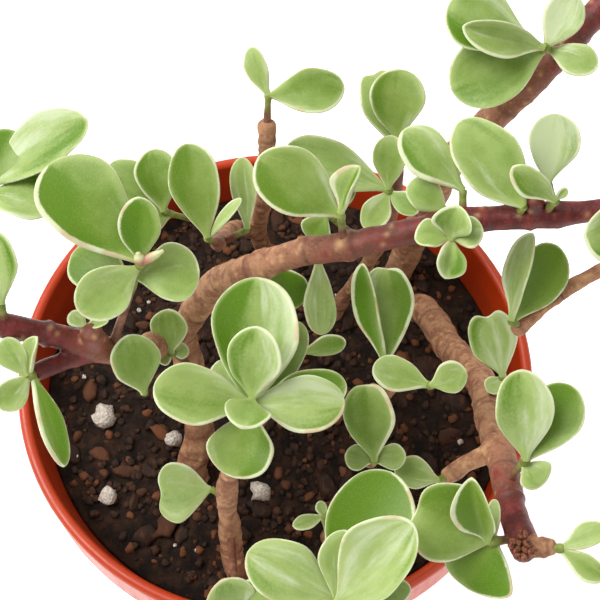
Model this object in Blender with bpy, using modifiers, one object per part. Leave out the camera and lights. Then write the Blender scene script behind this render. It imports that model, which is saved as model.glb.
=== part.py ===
"""Potted elephant bush: a variegated Portulacaria afra grown from several cuttings in a small round
nursery pot.

The model is in metres with +Z up.  Its origin is the centre of the pot's underside, +X is to the
right and -Y is the front, where the plant leans out over the rim.

Every grown piece is one object.  A woody stem with all its branches is one piece, and so is a leafy
shoot, which is a short green twig with the leaves that it carries.  Places on the plant are given in
millimetres from the middle of the soil's surface, so the whole plant follows the pot.
"""

import math

import bmesh
import bpy
from mathutils import Vector

MM = 0.001

# ---- driving dimensions ----------------------------------------------------------------------
RIM_DIAMETER = 105 * MM         # over the lip
BASE_DIAMETER = 76 * MM         # underside of the pot
POT_HEIGHT = 88 * MM
WALL = 1.5 * MM
FLOOR = 2.0 * MM
LIP_WIDTH = 2.4 * MM            # rounded lip, across
BAND_HEIGHT = 15 * MM           # collar below the lip
DRAIN_HOLES = 6
DRAIN_DIAMETER = 8 * MM
DRAIN_RING_RADIUS = 25 * MM

SOIL_DROP = 10 * MM             # from the rim down to the soil
SOIL_CROWN = 1.2 * MM           # how much higher the soil is at its middle
SOIL_SLOPE = [(0.35, 0.15), (0.7, 0.55)]    # (share of the way to the wall, share of the crown lost)
ROOT_DEPTH = 24 * MM            # how deep each cutting stands in the soil
ROOT_LEAN = 0.25                # how far the buried end leans in to the pot's middle, as a share

GAP = 0.3 * MM                  # between pieces that touch
TWIG_FOOT_THICKNESS = 1.7 * MM
TWIG_HEAD_THICKNESS = 1.3 * MM
TWIG_TIP = 0.6 * MM             # how far a twig stands past its last leaf
LEAF_THICKNESS = 1.3 * MM
LEAF_CUP = 0.10                 # how far a leaf's edges rise, as a share of its width
LEAF_CURL = 0.08                # how far a leaf's tip bends back, as a share of its length
LEAF_TAPER = 1.55               # how far out the leaf is broadest: 1 is half-way
LEAF_FULLNESS = 0.75            # how round its outline is: less is rounder
LEAF_PLUMPNESS = 0.5            # how soon it is at its full thickness: less is sooner
NARROW_LEAF = 1 / 3             # the most that a narrow leaf's thickness is of its width
GRAIN_SINK = 1.0 * MM           # how far a perlite grain's middle is below the soil's crown
GRAIN_BUMP = 0.12
GRAIN_PROPORTIONS = Vector((0.5, 0.36, 0.34))   # half its size along its three axes, as shares

# ---- fineness --------------------------------------------------------------------------------
POT_SIDES = 40
LIP_STEPS = 6
ROUTE_STEPS = 2                 # points on a stem for each span of its route
STEM_ROUNDNESS = 2              # a curve's bevel resolution
TWIG_ROUNDNESS = 1
LEAF_RINGS = 5
LEAF_SIDES = 6
DRAIN_SIDES = 16
WELD = 0.01 * MM                # points closer than this are one point

SOIL_TOP = POT_HEIGHT - SOIL_DROP
RIM_INNER_RADIUS = RIM_DIAMETER / 2 - LIP_WIDTH
FLOOR_INNER_RADIUS = BASE_DIAMETER / 2 - WALL
BAND_FILLET = WALL / 4
BASE_FILLET = WALL / 2

# ---- woody stems -----------------------------------------------------------------------------
# Each stem has a root, which is (share of the soil's radius, bearing in degrees), and branches, each
# (route, thickness at its foot, thickness at its tip).  The first branch grows from the root, and
# the others start inside it.  Routes are (right, back, height above the soil).
STEMS = {
    "main_stem": ((0.54, 230), [
        ([(-15, -14, 10), (-16, -8, 22), (-17, -4, 36)], 6.4, 5.6),
        ([(-17, -4, 34), (-10, -3, 49), (-3, -5, 59), (5, -6, 66), (13, -7, 70), (28, -6, 75),
          (40, -6, 77), (52, -6, 79), (64, -4, 78), (74, -2, 75)], 5.4, 2.8),
        ([(-17, -4, 34), (-22, -14, 46), (-28, -18, 55), (-34, -18, 60), (-42, -18, 64),
          (-51, -17, 66), (-59, -16, 67)], 5.2, 2.8),
        ([(-28, -18, 55), (-33, -21, 57), (-37, -24, 59)], 3.6, 2.6),
        ([(66, -4, 78), (63, -5, 68), (56, -6, 62), (48, -10, 60), (40, -16, 58)], 3.2, 2.4),
    ]),
    "right_stem": ((0.73, 31), [
        ([(36, 3, 11), (40, -10, 22), (39, -23, 34), (39, -35, 43), (39, -43, 47),
          (40, -50, 50)], 6.8, 4.4),
        ([(38, -30, 40), (34, -31, 37), (30, -33, 35)], 3.6, 2.4),
        ([(40, -50, 50), (42, -50, 50.6), (44.2, -50, 51.2)], 2.8, 2.4),
    ]),
    "front_stem": ((0.84, 260), [
        ([(-8, -37, 12), (-8, -32, 28), (-5, -30, 42), (-3, -29, 50)], 4.8, 2.6),
    ]),
    "front_right_stem": ((0.72, 288), [
        ([(12, -40, 18), (11, -50, 34), (11, -55, 40)], 3.8, 2.6),
    ]),
    "middle_stem": ((0.41, 354), [
        ([(20, -9, 14), (21, -14, 30), (20, -16, 40)], 3.6, 2.6),
        ([(20, -9, 14), (18, -22, 26), (17, -31, 37)], 3.0, 2.4),
    ]),
    "rear_right_stem": ((0.80, 46), [
        ([(31, 29, 22), (34, 28, 42), (41, 29, 56), (46, 31, 62), (51, 35, 66),
          (58, 41, 71), (65, 48, 76)], 6.4, 4.6),
    ]),
    "rear_middle_stem": ((0.44, 53), [
        ([(17, 18, 14), (21, 19, 28), (23, 21, 40), (23, 25, 47)], 3.6, 2.4),
    ]),
    "rear_left_stem": ((0.64, 95), [
        ([(-4, 30, 12), (-2, 26, 34), (-1, 24, 52), (-1, 26, 57)], 4.0, 3.0),
        ([(-4, 30, 12), (-8, 23, 26), (-10, 13, 38), (-10, 8, 45)], 3.2, 2.4),
    ]),
}


def leaf(turn, rise, length, width, roll=0, down=0):
    """One leaf: its turn is the way it points, in degrees from +X towards +Y, and its rise is above
    the level.  Roll tips its face about its own length, and down is how far below the shoot's tip it
    grows.  Lengths are in millimetres."""
    return {"turn": turn, "rise": rise, "length": length, "width": width, "roll": roll, "down": down}


# ---- leafy shoots ----------------------------------------------------------------------------
# name: (stem, foot on the stem, tip of the twig, leaves)
SHOOTS = {
    "shoot_left_tall": ("main_stem", (-26, -17, 54), (-19.5, -11.6, 72.5), [
        leaf(138, 25, 20.5, 13, 5),
        leaf(87, 55, 10.5, 6.5, -10),
        leaf(6, 5, 10, 9.5, -20, 3.5),
        leaf(-138, 0, 11.5, 8, 30, 1),
        leaf(150, 0, 12, 8.5, 20, 5.5),
    ]),
    "shoot_left_far": ("main_stem", (-50, -17, 66), (-47.2, 7.9, 64), [
        leaf(32, 20, 20, 10.5),
        leaf(64, 22, 11, 8.5, -10, 0.6),
        leaf(-9, 2, 12, 10.5, 10, 1.5),
    ]),
    "shoot_left_edge": ("main_stem", (-41.5, -18, 63.5), (-41, -17, 69), [
        leaf(95, 45, 11.5, 7, 5),
    ]),
    "shoot_left_hanging": ("main_stem", (-36, -23, 58), (-38, -25, 60), [
        leaf(130, 35, 7, 5, 25),
        leaf(70, 55, 7, 3.5, 30, 0.5),
        leaf(-125, 0, 7, 5, 25, 0.5),
        leaf(-66, -15, 15.5, 4.4, 25, 1),
    ]),
    "shoot_left_bud": ("main_stem", (-30, -18, 57), (-29.3, -16.5, 60.5), [
        leaf(146, 25, 3.5, 3, 10, 0.2),
        leaf(7, 25, 4, 2.4, 0, 0.2),
    ]),
    "shoot_left_low": ("main_stem", (-21, -12, 44), (-20.8, -23.7, 50), [
        leaf(107, 50, 10.5, 8.2, -5),
    ]),
    "shoot_crown_small": ("main_stem", (-16, -7, 26), (-17.6, -12.4, 42), [
        leaf(93, 50, 8, 6.6, 5),
        leaf(9, 10, 3, 3, -20, 0.8),
        leaf(-145, 10, 3, 3, 20, 0.8),
    ]),
    "rosette_front": ("front_stem", (-3, -29, 48), (-2.4, -29.5, 61), [
        leaf(84, 50, 12, 8.5, 5),
        leaf(-99, 45, 9.5, 7.2, 10),
        leaf(177, 15, 15.5, 9.4, 25, 1.5),
        leaf(-5, 10, 14.5, 9, -25, 1.5),
        leaf(87, 30, 21, 13.8, -5, 4.5),
        leaf(-104, -10, 11, 10.5, 5, 4.5),
        leaf(14, 6, 15.5, 7.5, -15, 4),
        leaf(124, 15, 10.5, 7, 10, 7),
        leaf(63, 12, 17.5, 7, -5, 7),
    ]),
    "shoot_under_dark": ("main_stem", (-1, -6, 60), (0, -2, 55), [
        leaf(-50, -35, 9, 7.5, -20),
    ]),
    "shoot_under_pale": ("main_stem", (8, -6, 67), (8, -3, 59), [
        leaf(-86, -50, 14.5, 5.5, -5),
    ]),
    "shoot_soil_low": ("front_stem", (-8, -32, 28), (5.4, -5.7, 28), [
        leaf(9, 15, 8.5, 4, -20),
    ]),
    "shoot_middle_pair": ("middle_stem", (20, -16, 38), (19.7, -16.2, 45), [
        leaf(111, 38, 18, 5.5, 55),
        leaf(89, 35, 18, 9, 0, 0.8),
    ]),
    "shoot_middle_right": ("middle_stem", (21, -14, 32), (26.9, -21.8, 49), [
        leaf(162, 6, 10, 6, 20, 0.6),
        leaf(12, 30, 6.5, 5.5, -25, 0.2),
    ]),
    "shoot_middle_front": ("middle_stem", (17.2, -29.4, 35), (17.5, -32.5, 42), [
        leaf(100, 45, 14, 8.5, 10),
        leaf(175, 15, 5, 4.5, 20, 1),
        leaf(5, 20, 5.5, 4.5, -20, 1),
    ]),
    "shoot_front_big": ("front_right_stem", (11, -53.3, 38), (10.6, -57.4, 47), [
        leaf(35, 52, 20, 11, -5),
        leaf(82, 42, 11.5, 7, 5, 1.5),
        leaf(64, 25, 21.5, 13.6, 0, 2.5),
        leaf(159, 25, 16, 9.6, 15, 3),
        leaf(5, 0, 12, 5, -25, 4),
    ]),
    "shoot_front_sliver": ("front_right_stem", (11.2, -48.2, 31), (9, -41, 39), [
        leaf(-161, 5, 5.5, 2.6, 15, 0.2),
        leaf(109, 25, 3, 2, 15, 0.6),
    ]),
    "shoot_front_left": ("front_stem", (-8, -36.4, 14), (-5.5, -55, 30), [
        leaf(125, 65, 8.5, 8.5, 10),
        leaf(15, 50, 9, 6.5, -20, 1),
    ]),
    "shoot_right_end": ("right_stem", (39, -48, 49.5), (34.1, -49.2, 51), [
        leaf(164, 22, 14.5, 12.5, 20, 1),
        leaf(121, 55, 12.5, 6.6, 45),
        leaf(-123, -30, 9, 11.5, 5, 1.5),
        leaf(89, 20, 6.5, 2.5, 30, 1),
    ]),
    "shoot_right_stub": ("right_stem", (31, -33, 35.5), (28.8, -33.8, 36), [
        leaf(169, 18, 8, 5.6, 20),
    ]),
    "shoot_right_upright": ("right_stem", (39, -37, 44), (40.4, -37.2, 55), [
        leaf(99, 48, 15, 9, 12),
        leaf(54, 25, 14, 8.8, 0, 0.5),
        leaf(-49, 0, 4.5, 5.8, -10, 1.6),
    ]),
    "shoot_right_heart": ("right_stem", (40, -15, 27), (40.5, -16.5, 41), [
        leaf(114, 45, 13, 8.5, 20),
        leaf(-141, -10, 3.5, 3.4, 10, 1),
    ]),
    "shoot_right_twig": ("right_stem", (42.2, -50, 50.7), (45.5, -50.5, 52.2), [
        leaf(22, 25, 7.5, 4, 5, 0.3),
        leaf(-38, 0, 8, 4, -30, 0.6),
    ]),
    "shoot_hanging_tip": ("main_stem", (41, -15.5, 58.2), (39, -15.5, 60.5), [
        leaf(80, 42, 14.5, 5.4, 45),
        leaf(55, 22, 14.5, 8.5, -25, 0.5),
    ]),
    "shoot_branch_low": ("main_stem", (28, -6, 75), (27.8, -10.1, 77), [
        leaf(78, 58, 5.5, 6.2, 10),
        leaf(-97, -10, 6.5, 5, 20, 0.5),
        leaf(180, 5, 5.5, 5, 0, 0.4),
        leaf(2, 25, 5, 5, -20, 0.5),
    ]),
    "shoot_branch_top": ("main_stem", (42, -6, 77), (42.8, -6.7, 82.5), [
        leaf(166, 38, 9, 4.5, 60),
        leaf(39, 30, 2.5, 1.6, -35),
    ]),
    "shoot_branch_broad": ("main_stem", (38, -6, 77), (38.5, -6.5, 80.5), [
        leaf(132, 25, 16, 9.5, 25),
    ]),
    "shoot_branch_pale": ("main_stem", (44, -6, 77.5), (42.7, -2, 80), [
        leaf(83, 38, 10.5, 7.8),
    ]),
    "shoot_branch_stalk": ("main_stem", (30, -6, 75), (30, -2, 78), [
        leaf(142, 25, 13, 7.2, 25),
    ]),
    "shoot_branch_small": ("main_stem", (27, -6, 74.6), (27.6, -4.3, 75), [
        leaf(142, 20, 7.5, 5.5, 20),
    ]),
    "shoot_rear_top": ("rear_middle_stem", (23, 23.8, 45), (23, 26.5, 51), [
        leaf(93, 45, 13, 10.2, 5),
        leaf(109, 22, 16, 8, 15, 1.5),
    ]),
    "shoot_rear_low": ("rear_middle_stem", (22.5, 20.5, 38), (21.3, 19.1, 46), [
        leaf(88, 48, 10, 6.3, 10),
        leaf(-118, 0, 9, 5.5, 10, 1),
        leaf(-44, 5, 7, 4.2, -25, 1),
        leaf(163, 18, 20.5, 9.2, 15, 0.4),
    ]),
    "shoot_rear_dark": ("rear_middle_stem", (20, 18.5, 25), (10, 16, 42), [
        leaf(-132, -25, 5.5, 6, 20),
        leaf(60, 30, 9, 6, -10, 0.5),
    ]),
    "shoot_branch_standing": ("main_stem", (12, -7, 69.5), (11.2, -5.2, 76.5), [
        leaf(63, 50, 8, 4.8, 30),
        leaf(155, 28, 15.5, 10.2, 30, 0.6),
    ]),
    "shoot_back_tall": ("rear_left_stem", (-10, 9, 43), (-11.4, 6.2, 50), [
        leaf(105, 38, 17, 9, 5),
        leaf(40, 40, 9.5, 2.6, 10, 0.5),
    ]),
    "shoot_back_pale": ("rear_left_stem", (-10, 11, 40), (-4.6, 10.5, 46), [
        leaf(95, 35, 13, 5),
    ]),
    "shoot_back_left": ("rear_left_stem", (-8, 22, 27), (-20.8, 17.9, 40), [
        leaf(101, 35, 12, 8.2),
        leaf(144, 22, 14.5, 7.5, 15, 1.2),
        leaf(-150, 20, 9, 6, 20, 2),
    ]),
    "shoot_back_twig": ("rear_left_stem", (-1, 25.5, 56), (-0.6, 28, 62.5), [
        leaf(118, 35, 9, 4.5, 40),
        leaf(0, 10, 13.5, 8, -35),
    ]),
    "shoot_rear_end": ("rear_right_stem", (50.5, 34.5, 66), (46.5, 30, 73), [
        leaf(166, 18, 18, 11, 30),
        leaf(-177, 22, 15.5, 6, 55, 0.5),
        leaf(-161, -12, 17.5, 12, 25, 1.5),
        leaf(55, 32, 10, 7, -5, 0.5),
        leaf(-34, 10, 9, 5.6, -35, 2.5),
    ]),
    "shoot_rear_tip": ("rear_right_stem", (64, 47, 75.5), (68, 51, 80), [
        leaf(15, 30, 13, 8, -10),
        leaf(95, 35, 12, 8, 5),
        leaf(-75, 20, 11, 7.5, -20, 1.5),
        leaf(160, 15, 12, 8, 25, 1.5),
    ]),
    "shoot_right_far": ("main_stem", (53, -6, 79), (54, -11, 81), [
        leaf(-159, 20, 8.5, 8.5, 40),
        leaf(-60, 15, 11, 7.5, -15, 0.5),
    ]),
    "shoot_main_tip": ("main_stem", (73, -2.2, 75.3), (79, 0, 76), [
        leaf(60, 25, 12, 8, 0, 1.4),
        leaf(-70, 15, 12.5, 8, 0, 1.7),
        leaf(-20, 45, 9, 6.5, -10, 0.3),
        leaf(160, 60, 7.5, 5.5, 20, 0.5),
    ]),
    "shoot_main_upper": ("main_stem", (63, -4, 78), (62, -2.5, 85), [
        leaf(95, 20, 12, 8, 5, 1),
        leaf(-90, 25, 11, 7.5, -5, 1),
        leaf(10, 50, 7, 5),
        leaf(-170, 45, 7, 5),
    ]),
    "shoot_left_tip": ("main_stem", (-58, -16.1, 66.9), (-64, -15, 69), [
        leaf(110, 20, 12.5, 8.5, 5, 0.5),
        leaf(-105, 15, 13, 8.5, 5, 0.5),
        leaf(180, 40, 9, 6.5),
    ]),
    "shoot_left_upper": ("main_stem", (-52, -17, 66.1), (-52.5, -14, 73), [
        leaf(20, 35, 8, 6, -10),
        leaf(-160, 30, 9, 6.5, 10),
    ]),
    "shoot_old_low": ("front_stem", (-8, -33.2, 24), (-11.1, -31.3, 24), [
        leaf(-177, -5, 10.5, 11, 15),
    ]),
}

# Pale perlite grains in the soil: (share of the soil's radius, bearing, longest size, turn)
PERLITE = [
    (0.75, 191, 6.0, 70),
    (0.86, 216, 4.4, 20),
    (0.50, 210, 4.0, 120),
    (0.49, 263, 5.0, 160),
]

PLASTIC = ((0.62, 0.11, 0.03), 0.45)
SOIL = ((0.06, 0.035, 0.022), 0.95)
BARK = ((0.25, 0.14, 0.09), 0.85)
LEAF = ((0.30, 0.46, 0.15), 0.45)
PERLITE_WHITE = ((0.72, 0.68, 0.62), 0.9)


def clear_scene():
    for piece in list(bpy.data.objects):
        bpy.data.objects.remove(piece, do_unlink=True)
    for collection in list(bpy.data.collections):
        bpy.data.collections.remove(collection)


def new_material(name, look):
    colour, roughness = look
    material = bpy.data.materials.new(name)
    material.use_nodes = True
    shader = material.node_tree.nodes["Principled BSDF"]
    shader.inputs["Base Color"].default_value = (*colour, 1)
    shader.inputs["Roughness"].default_value = roughness
    shader.inputs["Metallic"].default_value = 0
    return material


def new_piece(name, mesh, collection, material=None):
    piece = bpy.data.objects.new(name, mesh)
    collection.objects.link(piece)
    if material:
        mesh.materials.append(material)
    return piece


def as_cutter(piece):
    piece.hide_render = True
    piece.display_type = "WIRE"


def on_plant(place):
    """A place given in millimetres from the middle of the soil's surface, in the object's frame."""
    return Vector(place) * MM + Vector((0, 0, SOIL_TOP))


def in_soil(share, bearing, depth):
    """A place in the soil, as a share of its radius and a bearing in degrees."""
    radius = share * (inner_radius(SOIL_TOP) - GAP)
    angle = math.radians(bearing)
    return Vector((radius * math.cos(angle), radius * math.sin(angle), SOIL_TOP - depth))


# ---- the pot and its soil --------------------------------------------------------------------
def inner_radius(height):
    """The pot's inner wall is one straight taper from the floor to the lip."""
    share = (height - FLOOR) / (POT_HEIGHT - LIP_WIDTH / 2 - FLOOR)
    return FLOOR_INNER_RADIUS + (RIM_INNER_RADIUS - FLOOR_INNER_RADIUS) * share


def lip_profile():
    """The rounded top of the rim, from its inner side over to its outer side."""
    centre = RIM_DIAMETER / 2 - LIP_WIDTH / 2
    height = POT_HEIGHT - LIP_WIDTH / 2
    points = []
    for step in range(LIP_STEPS + 1):
        angle = math.pi * (1 - step / LIP_STEPS)
        points.append((centre + LIP_WIDTH / 2 * math.cos(angle),
                       height + LIP_WIDTH / 2 * math.sin(angle)))
    return points


def line_mesh(name, profile):
    """A mesh line through (radius, height) points, ready for a Screw modifier."""
    mesh = bpy.data.meshes.new(name)
    points = [(radius, 0, height) for radius, height in profile]
    edges = [(index, index + 1) for index in range(len(points) - 1)]
    mesh.from_pydata(points, edges, [])
    return mesh


def turn_round(piece):
    screw = piece.modifiers.new("turned", "SCREW")
    screw.steps = POT_SIDES
    screw.render_steps = POT_SIDES
    screw.use_merge_vertices = True
    screw.merge_threshold = WELD
    screw.use_smooth_shade = True


def cut(piece, name, cutter):
    boolean = piece.modifiers.new(name, "BOOLEAN")
    boolean.operation = "DIFFERENCE"
    boolean.solver = "EXACT"
    if isinstance(cutter, bpy.types.Collection):
        boolean.operand_type = "COLLECTION"
        boolean.collection = cutter
    else:
        boolean.object = cutter


def make_pot(parts, cutters):
    band_foot = POT_HEIGHT - BAND_HEIGHT
    body_top_radius = inner_radius(band_foot) + WALL
    profile = [(0, FLOOR), (FLOOR_INNER_RADIUS, FLOOR)]
    profile += lip_profile()
    profile += [
        (RIM_DIAMETER / 2 - BAND_FILLET, band_foot + BAND_FILLET),
        (body_top_radius + BAND_FILLET, band_foot),
        (body_top_radius, band_foot - BAND_FILLET),
        (BASE_DIAMETER / 2, 2 * BASE_FILLET),
        (BASE_DIAMETER / 2 - BASE_FILLET, 0),
        (0, 0),
    ]
    pot = new_piece("pot", line_mesh("pot", profile), parts, new_material("pot", PLASTIC))
    turn_round(pot)
    for hole in range(DRAIN_HOLES):
        angle = 2 * math.pi * (hole + 0.5) / DRAIN_HOLES
        place = (DRAIN_RING_RADIUS * math.cos(angle), DRAIN_RING_RADIUS * math.sin(angle), FLOOR / 2)
        mesh = bpy.data.meshes.new("drain")
        shape = bmesh.new()
        bmesh.ops.create_cone(shape, cap_ends=True, segments=DRAIN_SIDES,
                              radius1=DRAIN_DIAMETER / 2, radius2=DRAIN_DIAMETER / 2, depth=3 * FLOOR)
        shape.to_mesh(mesh)
        shape.free()
        drain = new_piece(f"drain_{hole + 1}", mesh, cutters)
        drain.location = place
        as_cutter(drain)
        cut(pot, f"drain_{hole + 1}", drain)


def make_soil(parts, stem_clearances, grain_clearances):
    edge = SOIL_TOP - SOIL_CROWN
    foot = FLOOR + GAP
    edge_radius = inner_radius(edge) - GAP
    profile = [(0, SOIL_TOP)]
    profile += [(edge_radius * out, SOIL_TOP - SOIL_CROWN * drop) for out, drop in SOIL_SLOPE]
    profile += [(edge_radius, edge), (inner_radius(foot) - GAP, foot), (0, foot)]
    soil = new_piece("soil", line_mesh("soil", profile), parts, new_material("soil", SOIL))
    turn_round(soil)
    for clearance in stem_clearances:
        cut(soil, clearance.name, clearance)
    cut(soil, "perlite", grain_clearances)


def make_perlite(parts, grain_clearances):
    white = new_material("perlite", PERLITE_WHITE)
    for number, (share, bearing, size, angle) in enumerate(PERLITE, 1):
        for swell, collection in ((0, parts), (GAP, grain_clearances)):
            mesh = bpy.data.meshes.new("perlite")
            shape = bmesh.new()
            bmesh.ops.create_icosphere(shape, subdivisions=1, radius=1)
            for vertex in shape.verts:
                bump = 1 + GRAIN_BUMP * math.sin(5 * vertex.co.x + 3 * vertex.co.y + number)
                half = GRAIN_PROPORTIONS * size * MM
                vertex.co = Vector(vertex.co[axis] * (half[axis] * bump + swell) for axis in range(3))
            shape.to_mesh(mesh)
            shape.free()
            label = f"perlite_{number}" if collection is parts else f"perlite_{number}_clearance"
            grain = new_piece(label, mesh, collection, white if collection is parts else None)
            grain.location = in_soil(share, bearing, GRAIN_SINK)
            grain.rotation_euler.z = math.radians(angle)
            if collection is not parts:
                as_cutter(grain)


# ---- woody stems -----------------------------------------------------------------------------
def smooth_route(route):
    """Points on a smooth curve through a route's own points."""
    ends = [route[0] * 2 - route[1], *route, route[-1] * 2 - route[-2]]
    points = []
    for before, start, end, after in zip(ends, ends[1:], ends[2:], ends[3:]):
        for step in range(ROUTE_STEPS):
            t = step / ROUTE_STEPS
            points.append(0.5 * (2 * start + (end - before) * t
                                 + (2 * before - 5 * start + 4 * end - after) * t ** 2
                                 + (3 * start - before - 3 * end + after) * t ** 3))
    points.append(route[-1])
    return points


def tube_mesh(name, points, foot_radius, tip_radius, roundness):
    """A tapered round tube with closed ends, as a mesh."""
    curve = bpy.data.curves.new(name, "CURVE")
    curve.dimensions = "3D"
    curve.bevel_depth = 1
    curve.bevel_resolution = roundness
    curve.use_fill_caps = True
    spline = curve.splines.new("POLY")
    spline.points.add(len(points) - 1)
    for index, point in enumerate(points):
        share = index / (len(points) - 1)
        spline.points[index].co = (*point, 1)
        spline.points[index].radius = foot_radius + (tip_radius - foot_radius) * share
    guide = bpy.data.objects.new(name, curve)
    bpy.context.scene.collection.objects.link(guide)
    graph = bpy.context.evaluated_depsgraph_get()
    mesh = bpy.data.meshes.new_from_object(guide.evaluated_get(graph))
    bpy.data.objects.remove(guide, do_unlink=True)
    shape = bmesh.new()
    shape.from_mesh(mesh)
    bmesh.ops.remove_doubles(shape, verts=shape.verts, dist=WELD)
    bmesh.ops.recalc_face_normals(shape, faces=shape.faces)
    shape.to_mesh(mesh)
    shape.free()
    mesh.shade_smooth()
    return mesh


def lengthened(points, extra):
    """The same route, longer by a little at both ends."""
    foot = points[0] + (points[0] - points[1]).normalized() * extra
    tip = points[-1] + (points[-1] - points[-2]).normalized() * extra
    return [foot, *points[1:-1], tip]


def branch_mesh(name, branch, root, swell):
    """One branch, made thicker and longer all round by the swell."""
    route, foot_thickness, tip_thickness = branch
    points = [on_plant(place) for place in route]
    if root:
        share, bearing = root
        buried = in_soil(share * (1 - ROOT_LEAN), bearing, ROOT_DEPTH)
        points = [buried, in_soil(share, bearing, 0), *points]
    points = smooth_route(points)
    if swell:
        points = lengthened(points, swell)
    foot_radius = foot_thickness / 2 * MM + swell
    tip_radius = tip_thickness / 2 * MM + swell
    return tube_mesh(name, points, foot_radius, tip_radius, STEM_ROUNDNESS)


def unite(piece, others):
    boolean = piece.modifiers.new("grown_together", "BOOLEAN")
    boolean.operation = "UNION"
    boolean.solver = "EXACT"
    boolean.operand_type = "COLLECTION"
    boolean.collection = others


def make_stems(parts, cutters):
    """Each woody stem, and a collection of its branches swollen by the gap, which what grows on it
    or stands round it is cut by."""
    bark = new_material("bark", BARK)
    clearances = {}
    for name, (root, branches) in STEMS.items():
        clearance = bpy.data.collections.new(f"{name}_clearance")
        cutters.children.link(clearance)
        side_branches = bpy.data.collections.new(f"{name}_branches")
        cutters.children.link(side_branches)
        for index, branch in enumerate(branches):
            branch_root = None if index else root
            mesh = branch_mesh(name, branch, branch_root, 0)
            if index:
                as_cutter(new_piece(f"{name}_branch_{index}", mesh, side_branches))
            else:
                stem = new_piece(name, mesh, parts, bark)
            swollen = branch_mesh(name, branch, branch_root, GAP)
            as_cutter(new_piece(f"{name}_clearance_{index}", swollen, clearance))
        if len(branches) > 1:
            unite(stem, side_branches)
        clearances[name] = clearance
    return clearances


# ---- leafy shoots ----------------------------------------------------------------------------
def leaf_frame(turn, rise, roll):
    """The leaf's own axes: along its length, across its width, and out of its upper face."""
    turn, rise, roll = math.radians(turn), math.radians(rise), math.radians(roll)
    along = Vector((math.cos(rise) * math.cos(turn), math.cos(rise) * math.sin(turn), math.sin(rise)))
    level = Vector((-math.sin(turn), math.cos(turn), 0))
    upward = along.cross(level)
    face = upward * math.cos(roll) + level * math.sin(roll)
    return along, face.cross(along), face


def leaf_outline(share):
    """Half the width of an obovate leaf, as a share of its greatest, from its foot to its tip."""
    return math.sin(math.pi * share ** LEAF_TAPER) ** LEAF_FULLNESS


def leaf_mesh(name, base, shape_of_leaf):
    """A fleshy obovate leaf: a ball drawn out to the leaf's outline, cupped and curled."""
    along, across, face = leaf_frame(shape_of_leaf["turn"], shape_of_leaf["rise"], shape_of_leaf["roll"])
    length = shape_of_leaf["length"] * MM
    width = shape_of_leaf["width"] * MM
    thickness = min(LEAF_THICKNESS, width * NARROW_LEAF)
    mesh = bpy.data.meshes.new(name)
    shape = bmesh.new()
    bmesh.ops.create_uvsphere(shape, u_segments=LEAF_SIDES, v_segments=LEAF_RINGS, radius=1)
    for vertex in shape.verts:
        share = min(max((vertex.co.z + 1) / 2, 0), 1)
        is_end = not 0 < share < 1
        around = Vector((vertex.co.x, vertex.co.y)).normalized()
        plump = 0 if is_end else math.sin(math.pi * share) ** LEAF_PLUMPNESS
        out = 0 if is_end else width / 2 * leaf_outline(share) * around.x
        lift = LEAF_CUP * width * (out / (width / 2)) ** 2 - LEAF_CURL * length * share ** 2
        vertex.co = (base + along * (length * share) + across * out
                     + face * (lift + around.y * thickness / 2 * plump))
    bmesh.ops.recalc_face_normals(shape, faces=shape.faces)
    shape.to_mesh(mesh)
    shape.free()
    return mesh


def make_shoots(parts, cutters, clearances):
    green = new_material("leaf", LEAF)
    for name, (stem, foot, head, leaves) in SHOOTS.items():
        foot_point, head_point = on_plant(foot), on_plant(head)
        back_down = (foot_point - head_point).normalized()
        twig_points = [foot_point, head_point - back_down * TWIG_TIP]
        twig = tube_mesh(name, twig_points, TWIG_FOOT_THICKNESS / 2, TWIG_HEAD_THICKNESS / 2,
                         TWIG_ROUNDNESS)
        shoot = new_piece(name, twig, parts, green)
        leaves_of_shoot = bpy.data.collections.new(f"{name}_leaves")
        cutters.children.link(leaves_of_shoot)
        for index, one in enumerate(leaves, 1):
            base = head_point + back_down * one["down"] * MM
            label = f"{name}_leaf_{index}"
            as_cutter(new_piece(label, leaf_mesh(label, base, one), leaves_of_shoot))
        unite(shoot, leaves_of_shoot)
        cut(shoot, "on_its_stem", clearances[stem])


def main():
    clear_scene()
    parts = bpy.data.collections.new("potted_elephant_bush")
    cutters = bpy.data.collections.new("cutters")
    cutters.hide_render = True
    grain_clearances = bpy.data.collections.new("perlite_clearance")
    cutters.children.link(grain_clearances)
    make_pot(parts, cutters)
    clearances = make_stems(parts, cutters)
    make_perlite(parts, grain_clearances)
    make_soil(parts, list(clearances.values()), grain_clearances)
    make_shoots(parts, cutters, clearances)
    bpy.context.scene.collection.children.link(parts)
    bpy.context.scene.collection.children.link(cutters)


main()
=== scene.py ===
"""The looks of the potted elephant bush: fine leaves, bark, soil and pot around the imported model.

Lengths in the tables are in millimetres and are turned into metres by MM.  Places on the plant are
measured from the middle of the soil's surface: right, back, and height above the soil.
"""

import math
import random

import bmesh
import bpy
import numpy as np
from mathutils import Matrix, Vector, kdtree, noise


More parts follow.
